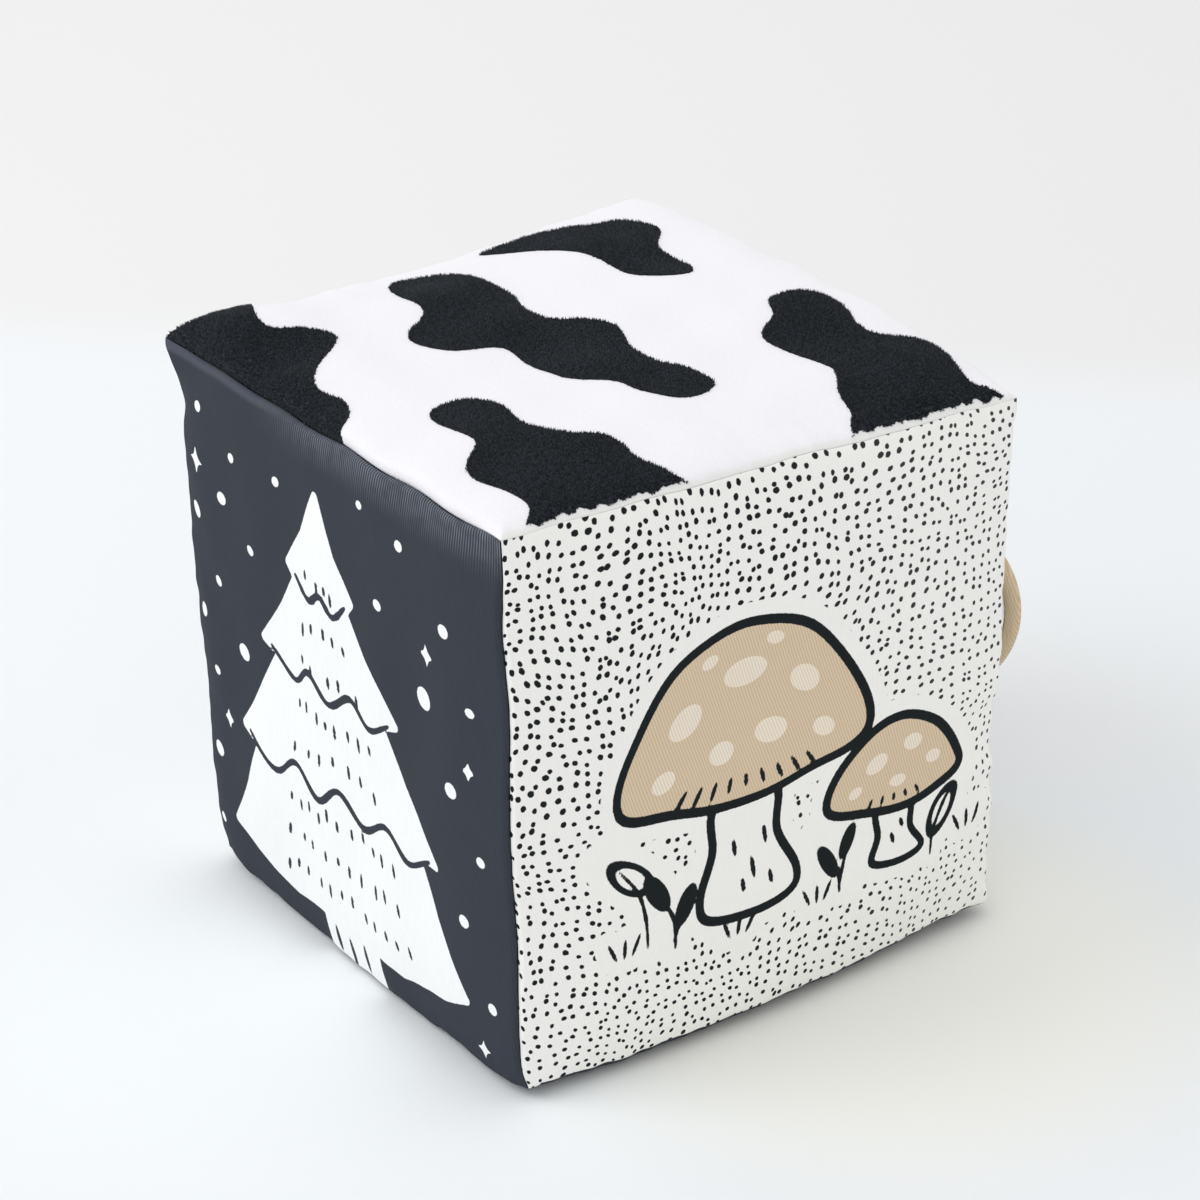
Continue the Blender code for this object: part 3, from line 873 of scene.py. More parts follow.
firPrint = dict(
    tree=(
        (68, 124), (74, 112), (82, 103), (79, 100), (86, 90), (97, 78), (91, 76), (99, 63), (111, 49),
        (103, 48), (110, 34), (121, 18), (112, 15), (92, 11), (80, 12), (80, 2.3), (56, 2.3), (56, 12),
        (42, 11), (24, 15), (16, 18), (26, 33), (33, 47), (25, 49), (36, 63), (45, 76), (39, 78),
        (50, 91), (57, 100), (54, 103), (62, 113),
    ),
    markRows=((104, 4), (92, 5), (81, 5), (68, 8), (58, 7), (42, 11), (32, 10), (22, 12)),
    # The shade under each tier
    tiers=(
        ((57, 101), (63, 97), (68, 100), (73, 96.5), (79, 101)),
        ((42, 77), (52, 72), (60, 77), (68, 72), (77, 77), (85, 72), (94, 77)),
        (
            (28, 48.5), (40, 43), (50, 49), (60, 43.5), (69, 49),
            (79, 43.5), (89, 49), (99, 43.5), (108, 48.5),
        ),
    ),
    barkMarks=((60, 6, 0.8, 4), (66, 4, 0.8, 5), (73, 6, 0.8, 4)),
    # Snow, a ring and stars: x, y, radius
    snow=(
        (14, 128, 1.7), (30, 121, 1.5), (24, 108, 2.1), (9, 100, 2.6), (37, 100, 1.6), (18, 84, 1.7),
        (7, 72, 2.2), (27, 69, 2.7), (13, 58, 1.6), (8, 34, 2.6), (104, 126, 1.6), (121, 112, 2.0),
        (94, 108, 1.7), (129, 95, 1.5), (110, 91, 2.9), (121, 73, 2.4), (130, 58, 1.6), (123, 40, 2.1),
        (131, 20, 1.8), (6, 14, 1.7), (50, 122, 1.5), (88, 129, 1.3),
    ),
    ring=(110, 91, 2.1),
    stars=((12, 114, 5.0), (113, 103, 4.2), (128, 80, 3.4), (16, 46, 4.0), (126, 7, 3.6)),
)


def drawFir(u, v):
    # Returns the distance to white print
    tree = filled(u, v, firPrint["tree"], smooth=False) - 1.2
    marks = []
    rng = np.random.RandomState(5)
    for height, count in firPrint["markRows"]:
        spread = (128 - height) * 0.34
        for k in range(count):
            x = 68 + spread * (2 * (k + 0.5) / count - 1) * 0.86 + rng.uniform(-1, 1)
            y = height - 3.5 * abs(x - 68) / 45 + rng.uniform(-1.2, 1.2)
            lean = (x - 68) * 0.035
            long = rng.uniform(2.6, 4.4)
            marks.append(stroke(u, v, ((x, y), (x + lean, y - long)), 1.15, 0.85, seed=k))
    for path in firPrint["tiers"]:
        marks.append(stroke(u, v, path, 1.9, 0.4))
    for mark in firPrint["barkMarks"]:
        marks.append(oval(u, v, *mark))
    white = [np.maximum(tree, -union(*marks))]
    for x, y, r in firPrint["snow"]:
        white.append(np.hypot((u - x) * 0.85, v - y) - 0.8 * r)
    x, y, r = firPrint["ring"]
    white.append(np.abs(np.hypot(u - x, v - y) - r) - 0.65)
    for x, y, r in firPrint["stars"]:
        du, dv = np.abs(u - x), np.abs(v - y)
        # A four-petal star: the sum of the square roots of both offsets stays under its reach
        white.append((np.sqrt(du + 0.02) + np.sqrt(dv + 0.02)) ** 2 / 1.6 - r / 1.6)
    return dict(white=union(*white))


# Blotches of the hide pattern on the top panel, in millimetres from its front left corner

hide = dict(
    blotches=(
        (
            (-12, 156), (22, 156), (20.5, 141), (18.5, 133), (14.5, 122.5), (14.7, 116.4), (21.1, 112.8),
            (25.7, 107.9), (23.8, 103.2), (14.1, 94.7), (8.8, 87.3), (7.9, 82.2), (8.8, 75.8), (6.2, 68.8),
            (1.3, 64.6), (-12, 56),
        ),
        (
            (56.7, 130.2), (67.6, 127.2), (72.9, 119.8), (73.1, 110), (72.7, 100.9), (70.5, 92.8),
            (71, 84.3), (76.3, 79.7), (80.3, 73.3), (80.1, 68), (76.5, 58.9), (75.8, 50.1), (79.7, 44),
            (81.8, 37.4), (80.1, 32.3), (74.6, 29.1), (67.6, 30), (62.7, 36.8), (61.4, 45.7), (54.4, 52.9),
            (53.1, 59.3), (53.3, 69.5), (53.5, 76.5), (50.8, 79.7), (42.9, 82.8), (40, 88.8), (39.1, 95.6),
            (41.4, 100.5), (46.8, 103.9), (50.4, 108.7), (51.8, 119.1),
        ),
        (
            (83.9, 131.9), (87.9, 126.8), (94.3, 122.3), (98.8, 114.3), (100.3, 104.7), (100.7, 97.9),
            (102, 92.6), (107.3, 86.7), (112.4, 84.8), (115.5, 89.2), (116.4, 99.8), (118.1, 105.1),
            (124, 111.7), (124.2, 117.7), (120.6, 124.7), (113.6, 127), (99.4, 132.7),
        ),
        (
            (4.5, -8), (6.6, 0), (11.5, 5.1), (11.7, 10.7), (9.4, 21.1), (10.4, 27.4), (13.8, 31.5),
            (19.2, 37.8), (17.2, 51), (18.9, 56.1), (23.8, 58), (30.2, 57.4), (34.4, 49.9), (33, 38.7),
            (37.6, 28.3), (42.7, 24.5), (44.4, 19.2), (43.8, 11.3), (46.8, 3.2), (51, -8),
        ),
        (
            (92, -8), (94.3, 2), (97.7, 6.5), (100.5, 15.1), (105.8, 22.8), (106.4, 27.4), (104.3, 39.7),
            (103.4, 45.3), (106, 49.3), (113.4, 54.2), (117.4, 61), (121.3, 62.7), (126.5, 62.3),
            (130, 58.6), (130.2, 52.9), (128.7, 45.9), (127, 40.8), (127, 35.5), (129.6, 32), (134, 28.9),
            (135.3, 23.4), (134.4, 17.5), (132.3, 10.9), (132.1, 6.4), (135.2, 3), (137, -8),
        ),
    ),
    band=1.0,  # the front cloth shows over the seam this far, in millimetres
    bandWander=0.35,
    steps=4,
)


def rimDistance(u, v):
    # Negative on the strip of front cloth along the seam
    along = vectors(u, 0.0)
    wander = smoothNoise(along, 5.0, 71) + 0.6 * smoothNoise(along, 1.7, 72)
    return v - hide["band"] - hide["bandWander"] * wander


def drawHide(u, v):
    patches = union(*(filled(u, v, points, steps=hide["steps"]) for points in hide["blotches"]))
    return np.maximum(patches, -rimDistance(u, v))


folds = simulateFolds()
print("gathers simulated")

# Cover panels

panels = dict(
    fine=280,
    plain=110,
    innerShares=(0.85, 0.6, 0.3),
)


def panelUv(s, t):
    # Millimetres on the panel from its lower left corner, as seen from outside
    return (s + 1) / 2 * side, (t + 1) / 2 * side


def buildPanel(face, look, count, thickness, drawing=None):
    # Outer surface on a grid, then the allowance turned in along the mitre planes, then the
    # inner surface on rings that shrink to its middle
    line = stations(count)
    s, t = np.meshgrid(line, line)
    edge = gridEdge(count, count)
    edgeS, edgeT = s.ravel()[edge], t.ravel()[edge]
    points = [facePoint(face, s, t).reshape(-1, 3)]
    u, v = panelUv(s, t)
    flatU, flatV = [u.ravel()], [v.ravel()]
    faces = [gridQuads(count, count)]
    reach = (half - cover["turnIn"]) / half
    lip = coverPoint(edgeS, edgeT) * reach
    step = thickness / math.sqrt(2)
    lipBack = lip * (1 - step / lip[:, 2:3])
    lipBack[:, 2] = lip[:, 2] + step
    inside = 1 - thickness * (1 + math.sqrt(2)) / half
    rings = [coverPoint(edgeS, edgeT) * ((1 + reach) / 2), lip, lipBack]
    for share in (1, *panels["innerShares"], 0):
        under = coverPoint(edgeS * inside * share, edgeT * inside * share)
        under[:, 2] -= thickness
        rings.append(under if share else under[:1])
    before, total = edge, len(s.ravel())
    for local in rings:
        ringS, ringT = edgeS[: len(local)], edgeT[: len(local)]
        points.append(lively(face, local, ringS, ringT))
        flatU.append(u.ravel()[edge][: len(local)])
        flatV.append(v.ravel()[edge][: len(local)])
        ring = total + np.arange(len(local))
        faces.append(bandQuads(before, ring) if len(local) > 1 else capTriangles(before, total))
        before, total = ring, total + len(local)
    flatU, flatV = np.concatenate(flatU), np.concatenate(flatV)
    values = drawing(flatU, flatV) if drawing else {}
    values["cloth"] = vectors(flatU, flatV)
    piece = makePiece(f"{face}_cover", np.concatenate(points), faces, look, values)
    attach(piece, "block")
    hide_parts(f"{face}_panel")
    return piece


# Each cloth's second colour is painted shade between its ribs
dottedLook = dict(dots=True, strength=0.07, slub=0.012)
dotted = clothMaterial(
    "dotted cotton twill", colours["white"], colours["whiteValley"], **dottedLook, prints=(
        ("tan", colours["tan"], colours["tanShade"]),
        ("spot", colours["spot"], colours["tan"]),
        ("ink", colours["ink"], colours["ink"]),
    ))
dottedPlain = clothMaterial(
    "dotted cotton twill, no picture", colours["white"], colours["whiteValley"], **dottedLook)
charcoalLook = dict(pitch=0.85, lean=0.12)
# ribs=True paints highlights on the cords and the turned edge under the top seam
charcoal = clothMaterial(
    "charcoal cotton twill", colours["charcoal"], colours["charcoalValley"], **charcoalLook,
    ribs=True, strength=0.12, slub=0.02, prints=(("white", colours["print"], colours["printValley"]),))
charcoalPlain = clothMaterial(
    "charcoal cotton twill, plain", colours["charcoal"], colours["charcoalValley"], **charcoalLook,
    strength=0.18)
offWhite = clothMaterial(
    "off-white cotton twill", paint(238, 238, 234), paint(226, 226, 222), strength=0.2, slub=0.025)
plush = plushMaterial("short pile plush")


def noHalo(u, v):
    return dict(halo=np.full_like(u, 9.0))


def hideValues(u, v):
    return dict(blotch=drawHide(u, v), tone=np.full_like(u, 0.4), rim=rimDistance(u, v))


for face, look, slot, count, drawing in (
    ("front", dotted, "dotted_cotton", panels["fine"], drawMushrooms),
    ("left", charcoal, "charcoal_cotton", panels["fine"], drawFir),
    ("back", dottedPlain, "dotted_cotton", panels["plain"], noHalo),
    ("right", offWhite, "plain_cotton", panels["plain"], None),
    ("bottom", charcoalPlain, "charcoal_cotton", panels["plain"], None),
    ("top", plush, "plush", panels["plain"] * 2, hideValues),
):
    panel = buildPanel(face, look, count, cover["plush" if face == "top" else "cotton"], drawing)
print("cover panels made")

# Pile on the top panel

# Only the black pile is so long and lit so that its tufts show; the white is even

pile = dict(
    pieces=2,
    tuftsEach=48000,
    length=0.00075,
    width=0.0002,
    sink=0.0003,
    lean=0.45,
    random=0.45,
    stray=0.1,  # how far a tuft's root strays over a blotch's edge, in millimetres
    overhang=0.9,  # how far pile leans out over a seam
)


def addPile(number):
    # Closed three-sided spikes, rooted just under the plush and leaning with a slow noise, and
    # outwards at the seams
    rng = np.random.RandomState(40 + number)
    s, t = rng.uniform(-1, 1, (2, 3 * pile["tuftsEach"]))
    blotch = drawHide(*panelUv(s, t)) + rng.normal(size=len(s)) * pile["stray"]
    chosen = np.flatnonzero(blotch < 0)[: pile["tuftsEach"]]
    s, t, count = s[chosen], t[chosen], len(chosen)
    root, normal = surfaceAt("top", s, t, 0.004)
    wave = [smoothNoise(root, 0.018, seed) for seed in (21, 22)]
    random = rng.normal(size=(count, 2)) * pile["random"]
    sideways = vectors(wave[0] * 0.35 + random[:, 0], wave[1] * 0.35 + random[:, 1])
    overSeam = [side * np.exp(-(1 - np.abs(side)) * half / 0.0012) for side in (s, t)]
    aim = unitOf(normal + pile["lean"] * sideways + pile["overhang"] * vectors(*overSeam))
    tall = pile["length"] * rng.uniform(0.7, 1.15, count)
    tip = root + aim * tall[:, None]
    base = root - normal * pile["sink"]
    first = unitOf(np.cross(aim, rng.normal(size=(count, 3))))
    second = np.cross(aim, first)
    corners = [tip]
    for k in range(3):
        turn = 2 * math.pi * k / 3
        corners.append(base + (first * math.cos(turn) + second * math.sin(turn)) * pile["width"])
    points = np.stack(corners, axis=1).reshape(-1, 3)
    start = 4 * np.arange(count)[:, None]
    pattern = np.array([[0, 1, 2], [0, 2, 3], [0, 3, 1], [1, 3, 2]])
    faces = (start[:, None] + pattern[None]).reshape(-1, 3)
    # A tuft's tip is painted lighter and its root darker, as highlight and shade, on top of its own random
    # tone
    tone = np.repeat(rng.uniform(0, 0.7, count), 4) + np.tile([0.3, -0.2, -0.2, -0.2], count)
    values = dict(
        skin=np.repeat(normal, 4, axis=0),
        tuft=np.ones(4 * count),
        rim=np.full(4 * count, 9.0),
        blotch=np.full(4 * count, -1.0),
        tone=np.clip(tone, 0, 1),
    )
    piece = makePiece(f"plush_pile_{number + 1}", points, [faces], plush, values)
    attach(piece, "block")


for number in range(pile["pieces"]):
    addPile(number)
print("pile made")

# Foam core

foam = dict(
    cuts=1,
    cell=0.0006,
    rough=0.00012,
    slack=0.0007,  # the foam lies this far inside its solid, so that the covers stay clear
    # The pore colour is painted shade in the hollows of the cells
    pore=paint(196, 186, 150),
    wall=paint(240, 233, 208),
)


def foamMaterial():
    # Open-cell foam: small pores between paler walls, darkened with painted shade
    g = newMaterial("open-cell foam", 0.95)
    cells = g.node("TexVoronoi", {"Vector": g.place(), "Scale": 1 / foam["cell"]}).outputs
    pore = g.ramp(cells["Distance"], 0.15, 0.6)
    # Painted shade in the pores
    g.base(g.mix(pore, foam["pore"], foam["wall"]))
    g.bump(pore, 0.8, 0.0003)
    return g.material


def buildFoam(part, look):
    # The slab's own solid, welded and cut finer, with its skin roughened by a fine noise
    work = bmesh.new()
    work.from_mesh(frame["nodes"][f"core_{part}"].data)
    bmesh.ops.remove_doubles(work, verts=work.verts, dist=0.00001)
    bmesh.ops.subdivide_edges(work, edges=work.edges, cuts=foam["cuts"], use_grid_fill=True)
    mesh = bpy.data.meshes.new(f"foam_{part}")
    work.to_mesh(mesh)
    work.free()
    places, normals = readVertices(mesh, "co"), readVertices(mesh, "normal")
    rough = foam["rough"] * smoothNoise(places, 6 * foam["cell"], 31) - foam["slack"]
    mesh.vertices.foreach_set("co", settle(places + normals * rough[:, None] - centre).ravel())
    mesh.materials.clear()
    mesh.materials.append(look)
    piece = addObject(f"foam_{part}", mesh)
    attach(piece, "block")
    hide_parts(f"core_{part}")


foamLook = foamMaterial()
for part in ("lower", "upper"):
    buildFoam(part, foamLook)
print("foam made")

# Flap: in its own axes it reaches along -Y from its hinge, and X points away from the block

flap = dict(
    angle=27,  # how far it stands open at rest, in degrees
    rise=0.002,  # it hangs this much higher than its hinge's middle
    height=0.055,
    length=0.070,
    roll=0.0014,  # radius of its rounded edge
    rim=0.0022,  # face cloth turned over the lining
    face=0.0009,
    film=0.0003,
    gap=0.0003,
    curl=0.003,
    wave=0.0003,  # the cloth's slow unevenness
    waveSpacing=0.03,
    around=160,
    rings=26,
    margin=0.011,  # width of the strip that is sewn to the panel
    marginCloth=0.0008,
    marginSteps=12,
    lead=0.0014,  # the strip leaves the panel this far behind the hinge
    bendSteps=7,
    foldRows=40,
    lap=0.004,  # how far the strip runs on inside the flap
    ease=0.0018,  # how softly the fold leaves the strip and the flap
)
hingePlace = np.array(next(j["pos_m"] for j in frame["joints"] if j["name"] == "flap_hinge"))


def flapPlace(reach, height, out):
    # Curls the free end away from the block, then turns and moves the flap to where it hangs
    share = np.maximum(reach, 0) / flap["length"]
    bent = out + flap["curl"] * share**2
    local = vectors(bent, -reach, height)
    wave = smoothNoise(vectors(reach, height), flap["waveSpacing"], 51)
    local[..., 0] += flap["wave"] * wave * np.clip(share * 4, 0, 1)
    turn = math.radians(flap["angle"])
    spin = np.array([[math.cos(turn), math.sin(turn), 0], [-math.sin(turn), math.cos(turn), 0], [0, 0, 1]])
    return local @ spin + hingePlace + (0, 0, flap["rise"])


def flapOutline(offset, share=1.0):
    # Straight rear edge, straight top and bottom and a half-round end, moved out by offset, then
    # drawn in to its middle by share. Even steps along its whole length
    top = flap["height"] / 2 - flap["roll"] + offset
    bend = flap["length"] - flap["roll"] - (flap["height"] / 2 - flap["roll"])
    turns = np.linspace(math.pi / 2, -math.pi / 2, 60)
    corners = np.concatenate([
        [[-offset, -top], [-offset, top]],
        vectors(bend + top * np.cos(turns), top * np.sin(turns))[:, :2],
        [[-offset, -top]],
    ])
    steps = np.hypot(*np.diff(corners, axis=0).T)
    along = np.concatenate([[0], np.cumsum(steps)])
    at = np.linspace(0, along[-1], flap["around"], endpoint=False)
    ring = np.stack([np.interp(at, along, corners[:, k]) for k in (0, 1)], axis=-1)
    middle = np.array([(flap["length"] - flap["roll"]) / 2, 0])
    return middle + share * (ring - middle)


def flapShell(name, node, levels, look):
    # A closed shell through rings of (offset, share, height off the flap's middle surface). Its
    # flat size is the flap's own and twice the spare cloth
    points, flat, faces = [], [], []
    total, before = 0, None
    for offset, share, out in levels:
        ring = flapOutline(offset, share) if share else flapOutline(offset, 0)[:1]
        points.append(flapPlace(ring[:, 0], ring[:, 1], out))
        flat.append(vectors(*ring.T / mm))
        here = total + np.arange(len(ring))
        if before is not None:
            if len(before) == 1:
                faces.append(capTriangles(here, before[0])[:, ::-1])
            elif len(here) == 1:
                faces.append(capTriangles(before, here[0]))
            else:
                faces.append(bandQuads(before, here))
        before, total = here, total + len(ring)
    piece = makePiece(name, np.concatenate(points), faces, look, dict(cloth=np.concatenate(flat)))
    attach(piece, "flap")
    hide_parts(node)


def plainMaterial(name, colour, roughness, grain, **fixed):
    # Moulded or rolled plastic with a faint mottle
    g = newMaterial(name, roughness, **fixed)
    mottle = g.noise(g.place(), grain, 2.0)[0]
    g.base(g.mix(g.ramp(mottle, 0.3, 0.7, 0.0, 0.08), colour, (0, 0, 0, 1)))
    g.bump(mottle, 0.1, 0.0002)
    return g.material


# The second colour of these cloths is painted shade between the ribs
tanCloth = clothMaterial("tan cotton twill", colours["flap"], paint(196, 174, 143), pitch=0.75, strength=0.5)
liningCloth = clothMaterial("off-white lining", paint(236, 236, 232), paint(220, 220, 216))


def layer(inset, shares, high, low):
    # Levels of a flat layer: its upper face from the middle out, and its lower face back in
    return [(inset, share, high) for share in shares] + [(inset, share, low) for share in reversed(shares)]


def addFlap():
    roll, rim = flap["roll"], flap["rim"]
    floor = roll - flap["face"]
    shares = [(k / flap["rings"]) ** 0.8 for k in range(flap["rings"] + 1)]
    rolled = [(roll * math.cos(turn), 1, roll * math.sin(turn)) for turn in np.linspace(1.3, -1.3, 7)]
    levels = [(0, share, roll) for share in shares] + rolled + [(0, 1, -roll), (-rim, 1, -roll)]
    levels += [(-rim, share, floor) for share in reversed(shares)]
    flapShell("flap_cloth", "flap_face", levels, tanCloth)
    inset = -rim - flap["gap"]
    high, low = floor - flap["gap"], floor - flap["gap"] - flap["film"]
    levels = layer(inset, shares, high, low)
    look = plainMaterial("crinkle film", paint(225, 230, 235), 0.15, 300.0, Metallic=0.2)
    flapShell("crinkle_film", "flap_film", levels, look)
    high = low - flap["gap"]
    shares = shares[::2]
    levels = layer(inset, shares, high, -roll)
    flapShell("flap_lining_cloth", "flap_lining", levels, liningCloth)


addFlap()


def onSidePanel(y, z, lift):
    # Points that stand off the right panel's cloth by lift
    s, t = y / half, (z - centre[2]) / half
    here, out = surfaceAt("right", s, t, 0.01)
    return here + out * lift


def foldPath(rows, lift):
    # The strip's cloth at a height off its middle surface, one row of points per level: from its
    # free edge along the panel, up in an S curve to the hinge, and on inside the flap
    high = flap["height"] / 2 - flap["rim"]
    z = np.linspace(-high, high, rows + 1)[:, None] + hingePlace[2] + flap["rise"]
    y = hingePlace[1] + flap["lead"] + flap["margin"] * np.linspace(1, 0, flap["marginSteps"])[None]
    y, z = np.broadcast_arrays(y, z)
    sewn = onSidePanel(y, z, flap["gap"] + flap["marginCloth"] / 2 + lift)
    reach = np.broadcast_to(flap["lap"] * np.linspace(0.2, 1, 4), (rows + 1, 4))
    height = np.broadcast_to(z[:, :1] - hingePlace[2] - flap["rise"], reach.shape)
    inside = flapPlace(reach, height, -lift)
    share = np.linspace(0, 1, flap["bendSteps"] + 2)[1:-1][None, :, None]
    start, end = sewn[:, -1:], inside[:, :1]
    lead = unitOf(start - sewn[:, -2:-1]) * flap["ease"]
    trail = unitOf(inside[:, 1:2] - end) * flap["ease"]
    bend = ((1 - share) ** 3 * start + 3 * (1 - share) ** 2 * share * (start + lead)
            + 3 * (1 - share) * share**2 * (end - trail) + share**3 * end)
    return np.concatenate([sewn, bend, inside], axis=1)


def addFold():
    # The strip's two faces as grids, joined round their rims
    rows = flap["foldRows"]
    outer, inner = (foldPath(rows, sign * flap["marginCloth"] / 2) for sign in (1, -1))
    middle = (outer + inner) / 2
    columns = outer.shape[1] - 1
    along = np.concatenate([[0], np.cumsum(np.linalg.norm(np.diff(middle[rows // 2], axis=0), axis=-1))])
    flat = vectors(along / mm, middle[..., 2] / mm)
    edge, quads = gridEdge(rows, columns), gridQuads(rows, columns)
    count = outer.shape[0] * outer.shape[1]
    faces = [quads[:, ::-1], quads + count, bandQuads(edge, edge + count)[:, ::-1]]
    points = np.concatenate([outer.reshape(-1, 3), inner.reshape(-1, 3)])
    piece = makePiece("flap_fold", points, faces, tanCloth, dict(cloth=np.tile(flat.reshape(-1, 3), (2, 1))))
    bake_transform(piece)
    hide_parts("flap_margin")


def threadMaterial():
    # Twisted sewing thread: fine slanting plies, with painted shade in the grooves between them
    g = newMaterial("sewing thread", 0.6, Sheen_Weight=0.2)
    apart = g.apart(g.attribute("cloth", "Vector"))
    turns = g.times(g.calc("ADD", apart[0], apart[1]), 2 * math.pi / 0.35)
    ply = g.timesPlus(g.calc("SINE", turns), 0.5, 0.5)
    # Darker in the grooves between plies: painted shade
    g.base(g.mix(ply, paint(176, 152, 120), paint(222, 203, 174)))
    g.bump(ply, 0.4, 0.0001)
    return g.material


thread = dict(
    stitch=0.0026,
    space=0.0008,
    width=0.00055,
    height=0.0004,
    arch=0.0001,  # a stitch's middle stands this much higher than its ends
    ring=6,
    fromEdge=0.0045,  # where the row round the flap lies
    rows=(0.3, 0.75),  # where the rows on the strip lie, as shares of its width
)


def addStitches(name, body, path, out):
    # Spindles end to end along a path of points: half width w(1 - x^4) at x from -1 to 1
    steps = np.linalg.norm(np.diff(path, axis=0), axis=-1)
    along = np.concatenate([[0], np.cumsum(steps)])
    pitch = thread["stitch"] + thread["space"]
    starts = np.arange(0, along[-1] - thread["stitch"], pitch)
    x = np.linspace(-1, 1, 7)
    at = starts[:, None] + thread["stitch"] * (x[None] + 1) / 2
    middle = np.stack([np.interp(at, along, path[:, k]) for k in range(3)], axis=-1)
    normal = np.stack([np.interp(at, along, out[:, k]) for k in range(3)], axis=-1)
    across = unitOf(np.cross(unitOf(np.gradient(middle, axis=1)), normal))
    turn = 2 * math.pi * np.arange(thread["ring"]) / thread["ring"]
    wide = (1 - 0.96 * x**4)[None, :, None, None]
    ring = (np.cos(turn)[:, None] * across[:, :, None] * thread["width"] / 2
            + np.sin(turn)[:, None] * normal[:, :, None] * thread["height"] / 2) * wide
    arch = normal[:, :, None] * (1 - x**4)[None, :, None, None] * thread["arch"]
    points = (middle[:, :, None] + ring + arch).reshape(-1, 3)
    number = np.arange(len(points)).reshape(len(starts), len(x), thread["ring"])
    after = np.roll(number, -1, axis=2)
    quads = np.stack([number[:, :-1], after[:, :-1], after[:, 1:], number[:, 1:]], axis=-1).reshape(-1, 4)
    caps = np.concatenate([number[:, 0, ::-1], number[:, -1]])
    turned = np.tile(vectors(turn / 12, 0.0), (len(starts) * len(x), 1))
    turned[:, 1] = np.repeat(at.ravel(), thread["ring"]) / mm
    piece = makePiece(name, points, [quads, caps], threadLook, dict(cloth=turned))
    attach(piece, body)


threadLook = threadMaterial()
addFold()


def addFlapStitches():
    # Two rows on the strip, and one round the flap's edge
    high = flap["height"] / 2 - flap["rim"] - 0.001
    z = np.linspace(-high, high, 60) + hingePlace[2] + flap["rise"]
    top = flap["gap"] + flap["marginCloth"] + thread["height"] * 0.3
    for number, share in enumerate(thread["rows"]):
        y = np.full_like(z, hingePlace[1] + flap["lead"] + flap["margin"] * share)
        path = onSidePanel(y, z, top)
        out = np.tile([1.0, 0, 0], (len(z), 1))
        addStitches(f"strip_stitches_{number + 1}", "block", path, out)
    ring = flapOutline(-thread["fromEdge"])
    ring = ring[ring[:, 0] > 0.004]
    ring = ring[np.argsort(np.arctan2(ring[:, 1], ring[:, 0] - 0.02))]
    path = flapPlace(ring[:, 0], ring[:, 1], flap["roll"] + thread["height"] * 0.2)
    turn = math.radians(flap["angle"])
    out = np.tile([math.cos(turn), math.sin(turn), 0], (len(path), 1))
    addStitches("flap_stitches", "flap", path, out)


addFlapStitches()
print("flap made")

# Pieces that keep their solid: the rattle


def dress(look, *nodes):
    for name in nodes:
        mesh = frame["nodes"][name].data
        mesh.materials.clear()
        mesh.materials.append(look)


shellLook = plainMaterial("rattle shell", paint(236, 238, 240), 0.35, 90.0)
beadLook = plainMaterial("rattle bead", paint(214, 78, 62), 0.2, 300.0)
dress(shellLook, "rattle_shell_lower", "rattle_shell_upper")
dress(beadLook, *(f"rattle_bead_{k}" for k in (1, 2, 3)))

# Floor, whose far part has the wall's tone, lights and camera

stage = dict(
    line=((0, 330), (1200, 385)),  # where the paler floor ends, in pixels of the picture
    soft=0.03,
    warm=(0.03, -0.075, 0),  # the floor is painted warmer and paler in the block's shadow in front of it: painted light
    pale=(-0.085, 0, 0),  # and paler to its left: painted light that lifts the block's shadow there
    reach=6.0,
    cells=24,
    leftRight=(-0.25, 0.3),  # over this stretch, in metres, the tones pass from left to right
    near=(paint(236, 240, 243), paint(234, 237, 240)),
    far=(paint(234, 234, 234), paint(231, 231, 231)),
    paleTone=paint(245, 249, 251),
    warmTone=paint(240, 241, 236),
    sky=0.93,
    window=(-1.3, 0.65, 1.5),
    windowSize=1.1,
    windowPower=10,
)
shot = dict(
    place=(-0.49097, -0.71807, 0.52494),
    forward=(0.50396, 0.73241, -0.45782),
    up=(0.28031, 0.36267, 0.88876),
    lens=121.5,
    pixels=1200,
)


def addCamera():
    data = bpy.data.cameras.new("camera")
    data.lens, data.sensor_width = shot["lens"], 36
    data.clip_start, data.clip_end = 0.05, 20
    camera = addObject("camera", data)
    forward, up = np.array(shot["forward"]), np.array(shot["up"])
    right = np.cross(forward, up)
    lift = centre[2] - cover["side"] / 2
    matrix = np.eye(4)
    matrix[:3, 0], matrix[:3, 1], matrix[:3, 2] = right, np.cross(right, forward), -forward
    matrix[:3, 3] = np.array(shot["place"]) + (0, 0, lift)
    camera.matrix_world = matrix.T.tolist()
    bpy.context.scene.camera = camera
    return matrix


def floorPoint(matrix, pixel):
    # Where the line of sight through a pixel meets the floor
    focal = shot["lens"] / 36 * shot["pixels"]
    x, y = pixel[0] - shot["pixels"] / 2, shot["pixels"] / 2 - pixel[1]
    ray = matrix[:3, :3] @ np.array([x, y, -focal])
    return matrix[:3, 3] - ray * matrix[2, 3] / ray[2]


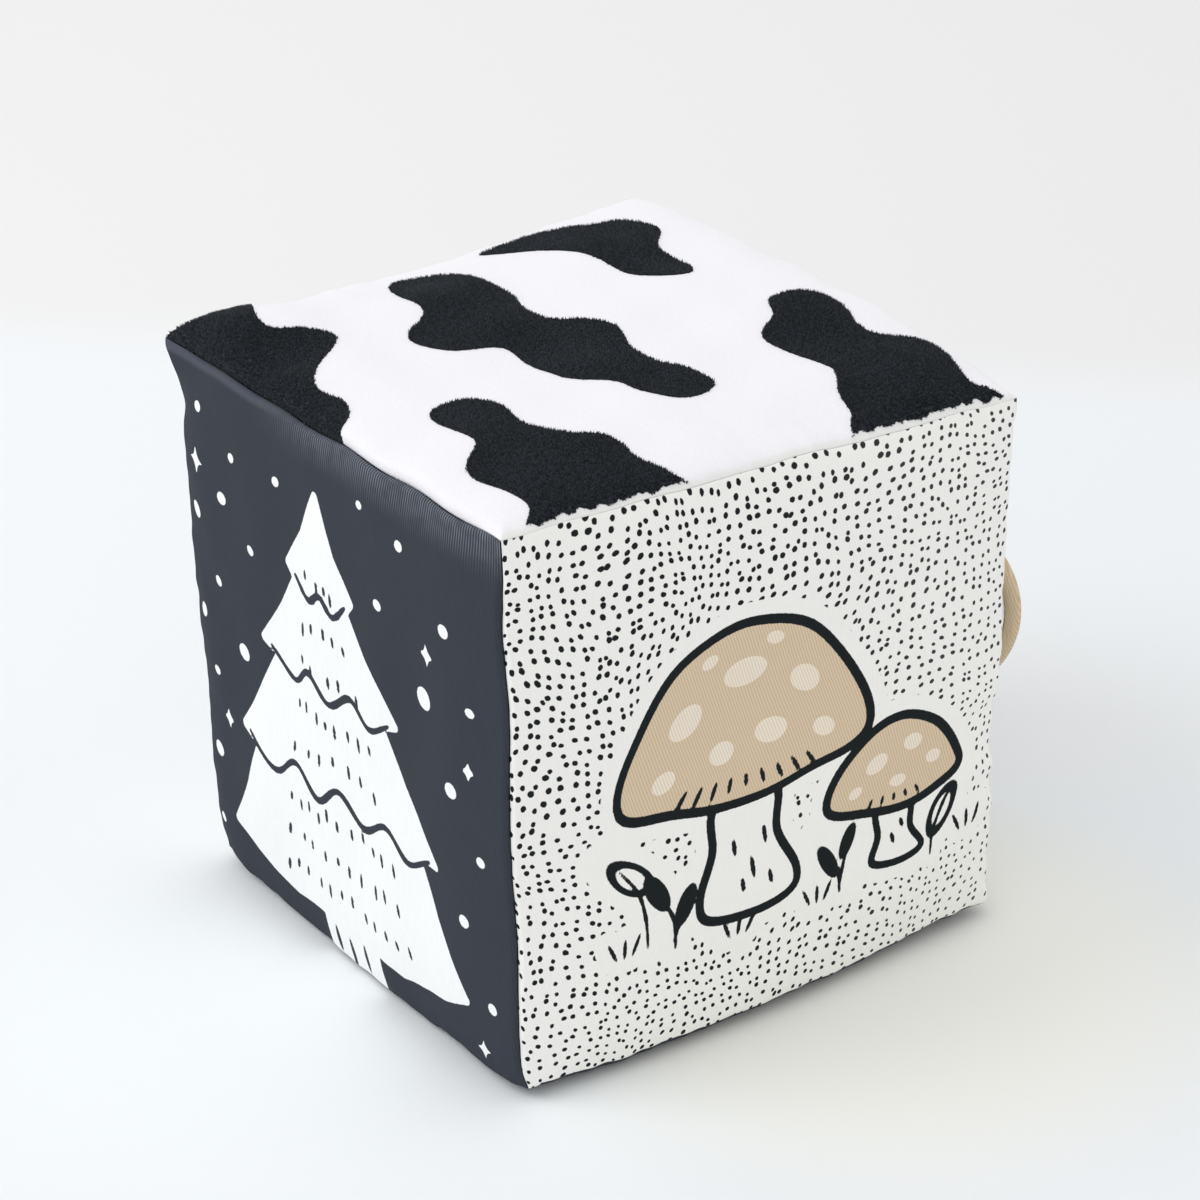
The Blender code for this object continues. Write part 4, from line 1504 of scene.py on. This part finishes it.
def stageMaterial(name, middle, away, along):
    # A pale floor, cooler near the block and neutral beyond a soft line; with painted light, paler to the
    # block's left and warmer and paler in its shadow in front of it
    g = newMaterial(name, 0.85)
    place = g.place()
    fromLine = g.vector("SUBTRACT", place, tuple(middle))
    beyond = g.vector("DOT_PRODUCT", fromLine, tuple(away))
    across = g.vector("DOT_PRODUCT", fromLine, tuple(along))
    cloudy = g.noise(place, 3.0, 1.0)[0]
    near, far = (g.mix(g.ramp(across, *stage["leftRight"]), *stage[part]) for part in ("near", "far"))
    tone = g.mix(g.ramp(beyond, -stage["soft"], stage["soft"]), near, far)
    tone = g.mix(g.times(cloudy, 0.06), tone, (0.7, 0.7, 0.7, 1))
    # Painted light: a paler patch to the block's left lifts its shadow there
    fromShadowLift = g.vector("DISTANCE", place, stage["pale"])
    tone = g.mix(g.ramp(fromShadowLift, 0.15, 0.04), tone, stage["paleTone"])
    # Painted light: a warmer, paler patch in the block's shadow in front of it
    fromWarmShadow = g.vector("DISTANCE", place, stage["warm"])
    tone = g.mix(g.ramp(fromWarmShadow, 0.1, 0.05), tone, stage["warmTone"])
    g.base(tone)
    return g.material


def addStage(matrix):
    left, right = (floorPoint(matrix, pixel) for pixel in stage["line"])
    along = unitOf(right - left)
    away = np.array([-along[1], along[0], 0])
    line = np.linspace(-1, 1, stage["cells"] + 1) * stage["reach"]
    x, y = np.meshgrid(line, line)
    look = stageMaterial("pale floor", (left + right) / 2, away, along)
    floor = makePiece("floor", vectors(x, y), [gridQuads(stage["cells"], stage["cells"])], look)


def addWindow():
    # A round area light that faces the block
    data = bpy.data.lights.new("window", "AREA")
    data.shape, data.size, data.energy = "DISK", stage["windowSize"], stage["windowPower"]
    lamp = addObject("window", data)
    lamp.location = stage["window"]
    x, y, z = unitOf(np.array(stage["window"]) - centre)
    lamp.rotation_euler = (math.acos(z), 0, math.atan2(y, x) + math.pi / 2)


def addSky():
    world = bpy.data.worlds.new("studio")
    bpy.context.scene.world = world
    world.use_nodes = True
    sky = world.node_tree.nodes["Background"].inputs
    sky["Color"].default_value = (1, 1, 1, 1)
    sky["Strength"].default_value = stage["sky"]


matrix = addCamera()
addStage(matrix)
addWindow()
addSky()
bpy.context.scene.view_settings.view_transform = "Standard"
print("stage made")
